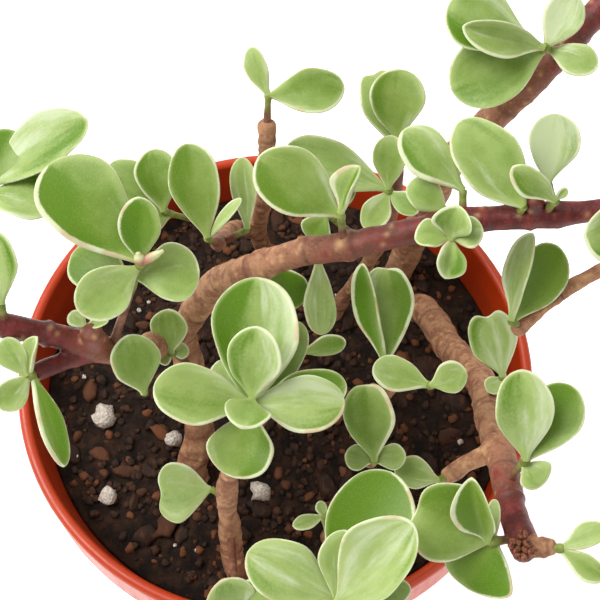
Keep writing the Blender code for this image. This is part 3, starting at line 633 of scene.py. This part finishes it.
def bark_material():
    p = Painter("bark")
    age, ring, spot = p.attributes("age", "ring", "spot")
    blotch = p.noise(2.6, 4, 0.6)
    fine = p.noise(0.55, 5, 0.7)
    old = p.mix(p.step(blotch, 0.36, 0.62), "8d5c44", "b68864")
    old = p.mix(p.step(fine, 0.52, 0.72, 0.0, 0.45), old, "d2aa84")
    old = p.mix(p.step(fine, 0.47, 0.32, 0.0, 0.5), old, "55382a")
    young = p.mix(p.step(blotch, 0.38, 0.64), "521411", "7c2c27")
    # pale pinkish flecks on the young bark: partly mottling, partly painted highlight
    young = p.mix(p.step(fine, 0.54, 0.74, 0.0, 0.35), young, "a06a60")
    youth = p.step(p.add(age, p.centred(blotch, 0.5)), 0.3, 0.68)
    colour = p.mix(youth, old, young)
    colour = p.mix(p.times(ring, 0.5), colour, "4a2a22")
    colour = p.mix(p.times(spot, 0.85), colour, "d2a474")
    p.bump(p.add(p.times(fine, 0.8), p.times(blotch, 0.4)), 0.5, 0.3)
    return p.finish(colour, p.less(0.82, p.times(youth, 0.4)), 0.38)


def pot_material():
    p = Painter("terracotta_plastic")
    cloud = p.noise(14, 3)
    fine = p.noise(0.6, 4, 0.7)
    scuff = p.noise(3.0, 4, 0.7, p.stretched((1, 1, 0.15)))
    colour = p.mix(p.step(cloud, 0.3, 0.7), "ba370d", "c13f10")
    colour = p.mix(p.step(scuff, 0.6, 0.8, 0.0, 0.12), colour, "d06a34")
    # the inner wall darkens towards 7a2c18, mottled by the cloud: partly soil dust, partly painted
    # shade inside the pot
    inner, = p.attributes("inner")
    dusty = p.add(inner, p.times(cloud, 0.4))
    colour = p.mix(p.step(dusty, 0.9, 1.4, 0.0, 0.4), colour, "7a2c18")
    p.bump(p.add(fine, p.times(scuff, 0.4)), 0.12, 0.1)
    return p.finish(colour, p.step(scuff, 0.4, 0.75, 0.34, 0.5), 0.5)


def soil_material():
    p = Painter("potting_soil")
    clod = p.noise(3.5, 5, 0.65)
    fine = p.noise(0.7, 5, 0.75)
    colour = p.mix(p.step(clod, 0.38, 0.68), "150d08", "3a2518")
    colour = p.mix(p.step(fine, 0.55, 0.75, 0.0, 0.5), colour, "5a3a26")
    colour = p.mix(p.step(p.noise(1.8, 2), 0.68, 0.76, 0.0, 0.5), colour, "74482c")
    p.bump(p.add(p.times(clod, 1.2), fine), 0.9, 0.6)
    return p.finish(colour, p.step(fine, 0.3, 0.7, 0.8, 0.96), 0.25)


def chip_material():
    p = Painter("bark_chip")
    tone, = p.attributes("tone")
    grain = p.noise(0.8, 4, 0.7, p.stretched((1, 0.3, 1)))
    colour = p.mix(p.step(tone, 0.55, 1.0), "2a1a11", "6a3e24")
    colour = p.mix(p.step(grain, 0.45, 0.75, 0.0, 0.3), colour, "8a5a3a")
    p.bump(grain, 0.7, 0.3)
    return p.finish(colour, p.step(grain, 0.3, 0.7, 0.75, 0.92), 0.3)


def perlite_material():
    p = Painter("perlite")
    pores = p.cells(0.5)
    fine = p.noise(0.5, 4, 0.7)
    colour = p.mix(p.step(fine, 0.35, 0.7), "b8a898", "ece4da")
    colour = p.mix(p.step(pores, 0.3, 0.05, 0.0, 0.5), colour, "7a6654")
    p.bump(p.less(fine, pores), 0.8, 0.3)
    return p.finish(colour, p.step(fine, 0.3, 0.7, 0.82, 0.95), 0.25)


def dry_material():
    p = Painter("dry_scar")
    fine = p.noise(0.5, 4, 0.7)
    colour = p.mix(p.step(fine, 0.35, 0.7), "4a2418", "a86a48")
    p.bump(fine, 0.6, 0.2)
    return p.finish(colour, p.step(fine, 0.3, 0.7, 0.6, 0.8), 0.35)


def bud_material():
    p = Painter("pink_bud")
    along, = p.attributes("along")
    fine = p.noise(0.5, 3, 0.6)
    colour = p.mix(p.step(along, 0.15, 0.8), "b86a62", "d2d6a0")
    colour = p.mix(p.step(fine, 0.45, 0.7, 0.0, 0.4), colour, "d8a08a")
    p.bump(fine, 0.3, 0.1)
    return p.finish(colour, p.step(fine, 0.3, 0.7, 0.4, 0.5), 0.45)


def floor_material():
    p = Painter("studio_floor")
    colour = p.mix(p.noise(60, 2), "f4f4f2", "f7f7f6")
    p.put(p.shader.inputs["Emission Color"], colour)
    p.put(p.shader.inputs["Emission Strength"], FLOOR_GLOW)
    return p.finish(colour, p.step(p.noise(30, 2), 0.3, 0.7, 0.85, 0.95), 0.1)


# ---- meshes ----
def linked(name, data):
    """A new object in the scene."""
    made = bpy.data.objects.new(name, data)
    bpy.context.scene.collection.objects.link(made)
    return made


def give_values(mesh, values):
    """Named values at a mesh's points, for its material."""
    for label, numbers in values.items():
        layer = mesh.attributes.new(label, "FLOAT", "POINT")
        layer.data.foreach_set("value", np.array(numbers, dtype=np.float32))


def dress(mesh, look):
    mesh.materials.clear()
    mesh.materials.append(look)
    mesh.shade_smooth()


def from_bmesh(name, shape):
    mesh = bpy.data.meshes.new(name)
    shape.to_mesh(mesh)
    shape.free()
    return mesh


def worked_out(piece):
    """The mesh that an object's modifiers make, in place of the object."""
    graph = bpy.context.evaluated_depsgraph_get()
    mesh = bpy.data.meshes.new_from_object(piece.evaluated_get(graph))
    bpy.data.objects.remove(piece, do_unlink=True)
    return mesh


def between(start, end, share):
    return start + (end - start) * share


def bell(distance, width):
    """1 at no distance, falling to nearly nothing at twice the width."""
    return math.exp(-(distance / width) ** 2)


def around(radius, angle):
    """A place on a level circle."""
    return radius * math.cos(angle), radius * math.sin(angle)


def on_plant(place):
    return Vector(place) * MM + Vector((0, 0, SOIL_TOP))


def inner_radius(height):
    share = (height - FLOOR) / (POT_HEIGHT - LIP_WIDTH / 2 - FLOOR)
    return between(BASE_RADIUS - WALL, RIM_RADIUS - LIP_WIDTH, share)


def in_soil(share, bearing, depth):
    radius = share * (inner_radius(SOIL_TOP) - GAP)
    return Vector((*around(radius, math.radians(bearing)), SOIL_TOP - depth))


class Builder:
    """Gathers points, faces and named values at the points, and makes one mesh of them."""

    def __init__(self):
        self.points, self.faces, self.slots = [], [], []
        self.values = {}

    def add(self, points, faces, slot=0, **values):
        first = len(self.points)
        self.points.extend(tuple(point) for point in points)
        self.faces.extend(tuple(first + corner for corner in face) for face in faces)
        self.slots.extend([slot] * len(faces))
        for name in set(self.values) | set(values):
            stored = self.values.setdefault(name, [0.0] * first)
            given = values.get(name, 0.0)
            stored.extend(given if hasattr(given, "__len__") else [given] * len(points))

    def mesh(self, name, materials):
        mesh = bpy.data.meshes.new(name)
        mesh.from_pydata(self.points, [], self.faces)
        for material in materials:
            mesh.materials.append(material)
        mesh.polygons.foreach_set("material_index", self.slots)
        give_values(mesh, self.values)
        mesh.validate()
        mesh.shade_smooth()
        return mesh


def new_piece(name, mesh, slot, *replaced):
    piece = linked(name, mesh)
    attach(piece, "root")
    if replaced:
        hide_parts(*replaced)


def ring_faces(rings, sides):
    """Faces between rings of points, with one more point closing each end: first, last."""
    faces = []
    for ring in range(rings - 1):
        for side in range(sides):
            after = (side + 1) % sides
            faces.append((ring * sides + side, ring * sides + after,
                          (ring + 1) * sides + after, (ring + 1) * sides + side))
    first, last = rings * sides, rings * sides + 1
    for side in range(sides):
        after = (side + 1) % sides
        faces.append((first, after, side))
        faces.append((last, (rings - 1) * sides + side, (rings - 1) * sides + after))
    return faces


def leaf_frame(one):
    """The leaf's own axes: along its length, across its width, and out of its upper face."""
    turn, rise, roll = (math.radians(one[key]) for key in ("turn", "rise", "roll"))
    along = Vector((math.cos(rise) * math.cos(turn), math.cos(rise) * math.sin(turn), math.sin(rise)))
    level = Vector((-math.sin(turn), math.cos(turn), 0))
    face = along.cross(level) * math.cos(roll) + level * math.sin(roll)
    return along, face.cross(along), face


def outline(share, broadest, taper):
    """Half the width of an obovate leaf, as a share of its greatest: a long taper from the foot,
    and a round tip."""
    foot = np.sin(np.pi / 2 * np.clip(share / broadest, 0, 1)) ** taper
    tip = np.sqrt(np.clip(1 - (np.clip(share - broadest, 0, 1) / (1 - broadest)) ** 2, 0, 1))
    return foot * tip


def add_leaf(builder, base, one, seed):
    """A fleshy leaf, closed all round, with a rolled margin and a faint trough down its middle."""
    rng = random.Random(seed)
    base, along, across, face = (np.array(axis) for axis in (base, *leaf_frame(one)))
    length, width = one["length"], one["width"]
    thickness = min(LEAF_THICKNESS, width / LEAF_SLENDERNESS)
    petiole = min(PETIOLE_RADIUS, width / 6)
    broadest = one["broadest"] + rng.uniform(-0.02, 0.02)
    phase = [rng.uniform(0, 6.28) for _ in range(4)]

    share = (1 - np.cos(np.pi * np.linspace(0.02, 0.985, LEAF_RINGS))) / 2
    angle = np.linspace(0, 2 * np.pi, LEAF_SIDES, endpoint=False)
    s, a = np.meshgrid(share, angle, indexing="ij")
    half = width / 2 * outline(s, broadest, one["taper"])
    half = np.sqrt(half ** 2 + (petiole * (1 - s) ** 2) ** 2)
    wobble = 0.025 * np.sin(7 * s + phase[0]) + 0.02 * np.sin(13 * s + phase[1])
    round_side = np.cos(a)
    half = half * (1 + wobble * np.sign(round_side))
    x = half * round_side
    slope = np.gradient(half[:, :1].ravel(), share * length)[:, None]
    edge = (half - np.abs(x)) / np.sqrt(1 + slope ** 2)
    edge = np.minimum(edge, length * (1 - s) + 0.02)
    plump = np.sin(np.pi * np.clip(s, 0.03, 0.97)) ** 0.45
    thick = np.sqrt((thickness / 2 * plump) ** 2 * (1 - (1 - s) ** 6) + (petiole * (1 - s) ** 3) ** 2)
    y = np.sin(a) * thick
    part = x / (width / 2)
    lift = LEAF_CUP * width * part ** 2 + one["fold"] * width / 2 * (np.sqrt(part ** 2 + 0.02) - 0.14)
    lift = lift * np.sin(np.pi / 2 * np.clip(s * 2.2, 0, 1)) - LEAF_CURL * length * s ** 2
    lift = lift + 0.016 * width * np.sin(5 * s + phase[2]) * part
    lift = lift + 0.02 * width * np.sin(9 * s + phase[3]) * part ** 2
    on_top = np.sin(a) > 0
    margin = MARGIN_LIFT * np.exp(-((edge - 0.3) / 0.25) ** 2)
    trough = TROUGH_DEPTH * np.exp(-(x / (0.11 * width)) ** 2) * (1 - s)
    lift = lift + np.where(on_top, margin - trough, 0) * plump
    dent = np.exp(-(x / (0.2 * width)) ** 2) * np.clip((s - 0.75) * 4, 0, 1)
    y_along = length * s - one["notch"] * width * dent
    place = base + MM * (y_along[..., None] * along + x[..., None] * across
                         + (lift + y)[..., None] * face)
    foot = base - MM * along * 0.1
    tip = base + MM * (along * (length - one["notch"] * width) - face * LEAF_CURL * length)
    points = list(place.reshape(-1, 3)) + [foot, tip]
    builder.add(points, ring_faces(LEAF_RINGS, LEAF_SIDES),
                edge=list(edge.ravel()) + [0.0, 0.0],
                across=list(round_side.ravel()) + [0.0, 0.0],
                along=list(s.ravel()) + [0.0, 1.0],
                upper=list(np.where(np.sin(a) > -0.05, 1.0, 0.0).ravel()) + [1.0, 1.0],
                dark=one["dark"] + rng.uniform(-0.25, 0.25), wide=one["wide"] + rng.uniform(-0.3, 0.3),
                pale=one["pale"] + rng.uniform(-0.12, 0.12), tone=rng.random())


def frames_along(points):
    """Two directions across a route at each of its points, turning no more than they must."""
    tangents = [(after - before).normalized() for before, after in zip(points, points[1:])]
    tangents.append(tangents[-1])
    side = tangents[0].orthogonal().normalized()
    pairs = []
    for tangent in tangents:
        side = (side - tangent * side.dot(tangent)).normalized()
        pairs.append((side, tangent.cross(side)))
    return tangents, pairs


def add_tube(builder, points, radii, sides, slot=0, **values):
    """A round tube through the points with closed ends."""
    tangents, pairs = frames_along(points)
    rings = []
    for point, radius, (one, other) in zip(points, radii, pairs):
        for index in range(sides):
            angle = math.tau * index / sides
            rings.append(point + (one * math.cos(angle) + other * math.sin(angle)) * radius)
    rings.append(points[0] - tangents[0] * radii[0] * 0.3)
    rings.append(points[-1] + tangents[-1] * radii[-1] * 0.5)
    share = [index / (len(points) - 1) for index in range(len(points)) for _ in range(sides)]
    builder.add(rings, ring_faces(len(points), sides), slot, along=share + [0.0, 1.0], **values)


def smooth_route(route, steps):
    """Points on a smooth curve through a route's own points."""
    ends = [route[0] * 2 - route[1], *route, route[-1] * 2 - route[-2]]
    points = []
    for before, start, end, after in zip(ends, ends[1:], ends[2:], ends[3:]):
        for step in range(steps):
            t = step / steps
            points.append(0.5 * (2 * start + (end - before) * t
                                 + (2 * before - 5 * start + 4 * end - after) * t ** 2
                                 + (3 * start - before - 3 * end + after) * t ** 3))
    points.append(route[-1])
    return points


def add_twig(builder, foot, head, leaves):
    """A green twig from inside the stem's bark to its last pair of leaves, with a swelling at
    each leaf's foot."""
    length = (head - foot).length / MM
    steps = max(8, int(length * 2))
    points = [foot.lerp(head, index / steps) for index in range(steps + 1)]
    radii = []
    for index in range(steps + 1):
        share = index / steps
        radius = between(TWIG_FOOT_RADIUS, TWIG_HEAD_RADIUS, share)
        for one in leaves:
            radius += LEAF_SWELLING * bell((1 - share) * length - one["down"], 0.8)
        radius += FOOT_SWELLING * bell(share * length, 1.2)
        radii.append(radius * MM)
    add_tube(builder, points, radii, TWIG_SIDES, 1, length=length)


def make_shoots(leaf_look, twig_look, bud_look):
    for number, (name, (stem, foot, head, leaves)) in enumerate(SHOOTS.items()):
        builder = Builder()
        foot_point, head_point = on_plant(foot), on_plant(head)
        back = (foot_point - head_point).normalized()
        add_twig(builder, foot_point, head_point, leaves)
        for index, one in enumerate(leaves):
            add_leaf(builder, head_point + back * one["down"] * MM, one, 100 * number + index)
        if name == BUDDED_SHOOT:
            add_buds(builder, head_point)
        mesh = builder.mesh(name + "_fine", [leaf_look, twig_look, bud_look])
        new_piece(name + "_fine", mesh, "leaf", name)


def add_buds(builder, head):
    for direction, length, radius in BUDS:
        way = Vector(direction).normalized()
        points, radii = [], []
        for step in range(BUD_STEPS + 1):
            points.append(head + way * length * MM * step / BUD_STEPS)
            plump = math.sin(math.pi * min(0.15 + step / (BUD_STEPS + 1), 0.96)) ** 0.6
            radii.append(radius * MM * (0.25 + 0.75 * plump))
        add_tube(builder, points, radii, BUD_SIDES, 2)


# ---- stem meshes ----
def branch_samples(name):
    """Close points along each branch: (place, radius, age, arc length), with lengths in metres."""
    root, branches = STEMS[name]
    found = []
    for index, (route, foot_thickness, tip_thickness, foot_age, tip_age) in enumerate(branches):
        points = [on_plant(place) for place in route]
        if index == 0:
            share, bearing = root
            root_tip = in_soil(share * (1 - ROOT_LEAN), bearing, ROOT_DEPTH)
            points = [root_tip, in_soil(share, bearing, 0), *points]
        points = smooth_route(points, ROUTE_STEPS)
        arc = 0.0
        samples = []
        for position, point in enumerate(points):
            if position:
                arc += (point - points[position - 1]).length
            share = position / (len(points) - 1)
            radius = between(foot_thickness, tip_thickness, share) / 2 * MM
            samples.append((point, radius, between(foot_age, tip_age, share), arc))
        found.append(samples)
    return found


def add_stubs(builder, name):
    for stem, foot, tip, foot_thickness, tip_thickness in STUBS:
        if stem == name:
            shares = [step / STUB_STEPS for step in range(STUB_STEPS + 1)]
            points = [on_plant(foot).lerp(on_plant(tip), share) for share in shares]
            radii = [between(foot_thickness, tip_thickness, share) / 2 * MM for share in shares]
            add_tube(builder, points, radii, BRANCH_SIDES)


def grown_together(builder, name):
    """The branches' tubes as one skin."""
    rough = linked(name, builder.mesh(name, []))
    remesh = rough.modifiers.new("skin", "REMESH")
    remesh.mode = "VOXEL"
    remesh.voxel_size = BARK_VOXEL
    smooth = rough.modifiers.new("even", "SMOOTH")
    smooth.factor = 0.5
    smooth.iterations = SMOOTHINGS
    return worked_out(rough)


def ring_places(samples, joints, rng):
    """Where joints and old leaf scars ring a branch: arc length and height."""
    places = []
    for joint in joints:
        nearest = min(samples, key=lambda sample: (sample[0] - joint).length)
        if (nearest[0] - joint).length < JOINT_REACH * MM:
            places.append((nearest[3], JOINT_HEIGHT))
    arc = rng.uniform(*FIRST_RING) * MM
    while arc < samples[-1][3] - 1.5 * MM:
        places.append((arc, rng.uniform(*RING_HEIGHTS)))
        arc += rng.uniform(*RING_GAPS) * MM
    return places


def tree_of(places):
    """The places, ready to be searched for the nearest."""
    tree = kdtree.KDTree(len(places))
    for index, place in enumerate(places):
        tree.insert(place, index)
    tree.balance()
    return tree


def make_stem(name, bark):
    rng = random.Random(name)
    branches = branch_samples(name)
    builder = Builder()
    for samples in branches:
        add_tube(builder, [s[0] for s in samples], [s[1] for s in samples], BRANCH_SIDES)
    add_stubs(builder, name)
    mesh = grown_together(builder, name + "_fine")
    joints = [on_plant(place) for place in JOINTS.get(name, [])]
    scars = [on_plant(place) for place in SCARS.get(name, [])]
    rings = [ring_places(samples, joints, rng) for samples in branches]
    flat = [(branch, sample) for branch, samples in enumerate(branches) for sample in samples]
    tree = tree_of([sample[0] for _, sample in flat])
    feet = [on_plant(foot) for stem, foot, _, _ in SHOOTS.values() if stem == name]
    spots = spot_places(mesh, rng)
    shift, age, ring, spot = [], [], [], []
    for vertex in mesh.vertices:
        place = vertex.co
        near = min(tree.find_n(place, 6), key=lambda found: found[2] - flat[found[1]][1][1])
        branch, (point, radius, youth, arc) = flat[near[1]]
        youth_here = min(max(youth, 0), 1)
        tangent = direction_at(branches[branch], arc)
        exact = arc + (place - point).dot(tangent)
        raised, dark = 0.0, 0.0
        for where, height in rings[branch]:
            away = (exact - where) / MM
            if abs(away) < 3:
                raised += height * bell(away, 0.55)
                dark = max(dark, bell(away - 0.75, 0.32))
        rough = 1 - 0.75 * youth_here
        for height, size, offset, only_old in BARK_WAVES:
            strength = height * rough if only_old else height
            raised += strength * noise.noise(place / (size * MM) + Vector(offset))
        for foot in feet:
            away = (place - foot).length / MM
            if away < 6:
                raised += COLLAR * bell(away, 2.4)
        near_spot = bell(spots.find(place)[2], 0.42 * MM)
        raised += SPOT_HEIGHT * near_spot
        near_scar = max([bell((place - scar).length, 0.75 * MM) for scar in scars], default=0.0)
        shift.append(raised * MM * min(1.0, radius / (1.6 * MM)))
        age.append(youth_here)
        ring.append(dark)
        spot.append(max(near_spot * (1 - 0.65 * youth_here), near_scar))
    normals = [vertex.normal.copy() for vertex in mesh.vertices]
    for vertex, normal, distance in zip(mesh.vertices, normals, shift):
        vertex.co += normal * distance
    give_values(mesh, {"age": age, "ring": ring, "spot": spot})
    dress(mesh, bark)
    new_piece(name + "_fine", mesh, "bark", name)


def make_dry_scar(look):
    """The dried end of a pruned branch: curled woody flakes round a hollow."""
    rng = random.Random(5)
    middle = on_plant(DRY_SCAR)
    out = Vector((0.0, -0.45, 0.9)).normalized()
    side = out.orthogonal().normalized()
    other = out.cross(side)
    builder = Builder()
    for flake in range(FLAKES):
        angle = math.tau * (flake + rng.uniform(-0.3, 0.3)) / FLAKES
        ring = 0.55 if flake % 3 == 0 else 1.35
        way = side * math.cos(angle) + other * math.sin(angle)
        length = rng.uniform(0.9, 1.7)
        points, radii = [], []
        for step in range(FLAKE_STEPS + 1):
            share = step / FLAKE_STEPS
            reach = ring + length * 0.55 * share
            lift = 0.6 * length * math.sin(2.6 * share) + rng.uniform(-0.05, 0.05)
            points.append(middle + (way * reach + out * lift) * MM)
            radii.append((0.55 - 0.25 * share) * MM)
        add_tube(builder, points, radii, FLAKE_SIDES)
    new_piece("right_stem_dry_scar", builder.mesh("right_stem_dry_scar", [look]), "bark")


def direction_at(samples, arc):
    """A branch's direction at an arc length."""
    for before, after in zip(samples, samples[1:]):
        if after[3] >= arc:
            return (after[0] - before[0]).normalized()
    return (samples[-1][0] - samples[-2][0]).normalized()


def spot_places(mesh, rng):
    """Lenticels: pale corky spots scattered over the bark."""
    size = len(mesh.vertices)
    count = max(12, size // SPOT_SPACING)
    return tree_of([mesh.vertices[rng.randrange(size)].co for _ in range(count)])


# ---- pot ----
def near(radius, height, steps):
    """Places at steps of so many millimetres from a radius and a height."""
    return [(radius + out * MM, height + up * MM) for out, up in steps]


def pot_profile():
    """(radius, height) points from the middle of the floor over the lip to the underside."""
    band_foot = POT_HEIGHT - BAND_HEIGHT
    body_top = inner_radius(band_foot) + WALL
    lip_radius = LIP_WIDTH / 2
    points = [(0, FLOOR), (MIDDLE_RADIUS, FLOOR)]
    points += near(BASE_RADIUS - WALL, FLOOR, [(-1.2, 0), (-0.3, 0.35)])
    wall_foot = FLOOR + CORNER
    for step in range(WALL_STEPS + 1):
        height = between(wall_foot, POT_HEIGHT - lip_radius, step / WALL_STEPS)
        points.append((inner_radius(height), height))
    for step in range(1, LIP_STEPS + 1):
        out, up = around(lip_radius, math.pi * (1 - step / LIP_STEPS))
        points.append((RIM_RADIUS - lip_radius + out, POT_HEIGHT - lip_radius + up))
    points += near(RIM_RADIUS, POT_HEIGHT, [(-0.1, -2.6), (-0.35, -3.2)])
    points += near(RIM_RADIUS, band_foot, [(-0.35, 1.0), (-0.45, 0.45), (-0.8, 0.08)])
    points += near(body_top, band_foot, [(0.6, 0), (0.12, -0.12), (0, -0.6)])
    wall_top = points[-1][1]
    for step in range(1, BODY_STEPS):
        share = step / BODY_STEPS
        points.append((between(body_top, BASE_RADIUS, share), between(wall_top, WALL, share)))
    points.append((BASE_RADIUS, WALL))
    points += near(BASE_RADIUS, 0, [(-0.2, 0.6), (-0.75, 0.1), (-1.2, 0)])
    return points + [(MIDDLE_RADIUS, 0), (0, 0)]


def make_drain(angle):
    """A cutter for one drain hole."""
    shape = bmesh.new()
    place = Matrix.Translation((*around(DRAIN_RING_RADIUS, angle), 0))
    bmesh.ops.create_cone(shape, cap_ends=True, segments=DRAIN_SIDES, radius1=DRAIN_RADIUS,
                          radius2=DRAIN_RADIUS, depth=4 * FLOOR, matrix=place)
    return linked("drain", from_bmesh("drain", shape))


def make_pot(look):
    profile = pot_profile()
    shape = bmesh.new()
    line = [shape.verts.new((radius, 0, height)) for radius, height in profile]
    edges = [shape.edges.new(pair) for pair in zip(line, line[1:])]
    bmesh.ops.spin(shape, geom=line + edges, cent=(0, 0, 0), axis=(0, 0, 1), angle=math.tau,
                   steps=POT_SIDES, use_merge=True, use_duplicate=False)
    bmesh.ops.remove_doubles(shape, verts=shape.verts, dist=WELD)
    bmesh.ops.recalc_face_normals(shape, faces=shape.faces)
    pot = linked("pot_rough", from_bmesh("pot_fine", shape))
    drains = [make_drain(math.tau * (hole + 0.5) / DRAIN_HOLES) for hole in range(DRAIN_HOLES)]
    for drain in drains:
        boolean = pot.modifiers.new("drain", "BOOLEAN")
        boolean.operation = "DIFFERENCE"
        boolean.object = drain
    cut = worked_out(pot)
    for drain in drains:
        bpy.data.objects.remove(drain, do_unlink=True)
    # inner marks the inner wall below the lip, which the pot's material darkens with dust and painted
    # shade
    inner = []
    for vertex in cut.vertices:
        radius = math.hypot(vertex.co.x, vertex.co.y)
        in_wall = radius < inner_radius(vertex.co.z) + 0.4 * MM
        inner.append(1.0 if in_wall and vertex.co.z < POT_HEIGHT - LIP_WIDTH else 0.0)
    give_values(cut, {"inner": inner})
    dress(cut, look)
    cut.set_sharp_from_angle(angle=math.radians(SHARP_ANGLE))
    new_piece("pot_fine", cut, "pot", "pot")


# ---- soil ----
def soil_height(x, y):
    """The soil's surface: a low crown with clods and crumbs."""
    radius = math.hypot(x, y)
    edge = inner_radius(SOIL_TOP) - GAP
    crown = -SOIL_CROWN * (radius / edge) ** 2
    place = Vector((x, y, 0)) / MM
    clods = 0.9 * noise.fractal(place / 7.0, 0.8, 2.1, 4)
    crumbs = 0.55 * max(0.0, noise.noise(place / 1.7 + Vector((4, 1, 8))))
    crumbs += 0.3 * noise.noise(place / 0.8)
    fade = min(1.0, max(0.0, (edge - radius) / SOIL_SHOULDER))
    return SOIL_TOP + crown + (clods + crumbs - 0.35) * MM * (0.35 + 0.65 * fade)


def make_soil(look):
    """A root ball: a fine surface on top, and plain sides and a foot that nothing shows."""
    edge = inner_radius(SOIL_TOP - SOIL_CROWN) - GAP
    rings = int(edge / SOIL_STEP)
    angles = [math.tau * side / SOIL_SIDES for side in range(SOIL_SIDES)]
    points = []
    for ring in range(1, rings + 1):
        for angle in angles:
            x, y = around(edge * ring / rings, angle)
            points.append((x, y, soil_height(x, y)))
    foot_radius = inner_radius(SOIL_FOOT) - GAP
    for share in (0.35, 0.7, 1.0):
        radius = between(edge, foot_radius, share)
        height = between(SOIL_TOP - SOIL_SHOULDER, SOIL_FOOT, share)
        points += [(*around(radius, angle), height) for angle in angles]
    points += [(0, 0, soil_height(0, 0)), (0, 0, SOIL_FOOT)]
    builder = Builder()
    builder.add(points, [tuple(reversed(face)) for face in ring_faces(rings + 3, SOIL_SIDES)])
    new_piece("soil_fine", builder.mesh("soil_fine", [look]), "soil", "soil")


def lump(rng, size, flat, long):
    """A rough pebble-like lump as points and faces, about that long."""
    shape = bmesh.new()
    bmesh.ops.create_icosphere(shape, subdivisions=2, radius=0.5)
    offset = Vector([rng.uniform(0, 50) for _ in range(3)])
    spin = Matrix.Rotation(rng.uniform(0, 6.28), 3, "Z")
    spin = spin @ Matrix.Rotation(rng.uniform(-0.5, 0.5), 3, "X")
    points = []
    for vertex in shape.verts:
        coarse, fine = (noise.noise(vertex.co * scale + offset) for scale in (3.1, 8))
        co = vertex.co * (1 + 0.55 * coarse + 0.25 * fine)
        points.append(spin @ (Vector((co.x * long, co.y, co.z * flat)) * size))
    faces = [tuple(vertex.index for vertex in face.verts) for face in shape.faces]
    shape.free()
    return points, faces


def scatter(name, look, slot, count, sizes, flat, long, seed):
    """Small lumps strewn over the soil, joined as one piece."""
    rng = random.Random(seed)
    builder = Builder()
    edge = inner_radius(SOIL_TOP) - GAP - CRUMB_MARGIN
    for _ in range(count):
        size = rng.uniform(*sizes) * MM
        radius = (edge - size / 2) * math.sqrt(rng.random())
        x, y = around(radius, rng.uniform(0, math.tau))
        points, faces = lump(rng, size, flat * rng.uniform(0.8, 1.3), long * rng.uniform(0.8, 1.3))
        centre = Vector((x, y, soil_height(x, y) + size * 0.1))
        builder.add([centre + point for point in points], faces, tone=rng.random())
    new_piece(name, builder.mesh(name, [look]), slot)


def make_grains(look):
    """The four large perlite grains, each where its CAD grain is."""
    for number in range(1, 5):
        name = f"perlite_{number}"
        low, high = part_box(name)
        centre = (low + high) / 2 + Vector((0, 0, GRAIN_LIFT))
        size = max((high - low).x, (high - low).y)
        points, faces = lump(random.Random(40 + number), size, 0.8, 1.0)
        builder = Builder()
        builder.add([centre + point for point in points], faces)
        new_piece(name + "_fine", builder.mesh(name + "_fine", [look]), "perlite", name)


# ---- stage ----
def make_stage(look):
    bpy.ops.mesh.primitive_plane_add(size=FLOOR_SIZE, location=(0, 0, -FLOOR_GAP))
    floor = bpy.context.object
    floor.name = "studio_floor"
    floor.data.materials.append(look)
    floor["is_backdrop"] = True
    world = bpy.data.worlds.new("studio")
    bpy.context.scene.world = world
    world.use_nodes = True
    sky = world.node_tree.nodes["Background"]
    sky.inputs["Color"].default_value = (1.0, 1.0, 1.0, 1)
    sky.inputs["Strength"].default_value = SKY_GLOW
    for name, (place, size, power) in LAMPS.items():
        light = bpy.data.lights.new(name, "AREA")
        light.size = size
        light.energy = power
        lamp = linked(name, light)
        lamp.location = place
        aim = Vector(LAMP_AIM) - Vector(place)
        lamp.rotation_euler = aim.to_track_quat("-Z", "Y").to_euler()


def make_camera():
    """Looking down on the plant from the front, and close."""
    camera = bpy.data.cameras.new("camera")
    camera.sensor_width = SENSOR
    camera.lens = LENS
    camera.clip_start = 0.01
    viewer = linked("camera", camera)
    viewer.location = Vector(CAMERA_PLACE) * MM
    viewer.rotation_euler = (math.radians(CAMERA_TILT), 0, 0)
    bpy.context.scene.camera = viewer
    bpy.context.scene.view_settings.view_transform = "Standard"


make_camera()
make_stage(floor_material())
make_pot(pot_material())
make_soil(soil_material())
chips = chip_material()
scatter("soil_crumbs", chips, "soil", count=1500, sizes=(0.7, 2.0), flat=0.7, long=1.1, seed=11)
scatter("bark_chips", chips, "soil", count=90, sizes=(1.8, 4.2), flat=0.35, long=1.6, seed=12)
white = perlite_material()
scatter("perlite_crumbs", white, "perlite", count=40, sizes=(0.6, 1.5), flat=0.8, long=1.0, seed=13)
make_grains(white)
bark = bark_material()
for stem_name in STEMS:
    make_stem(stem_name, bark)
make_dry_scar(dry_material())
make_shoots(leaf_material(), twig_material(), bud_material())

visual_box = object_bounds()
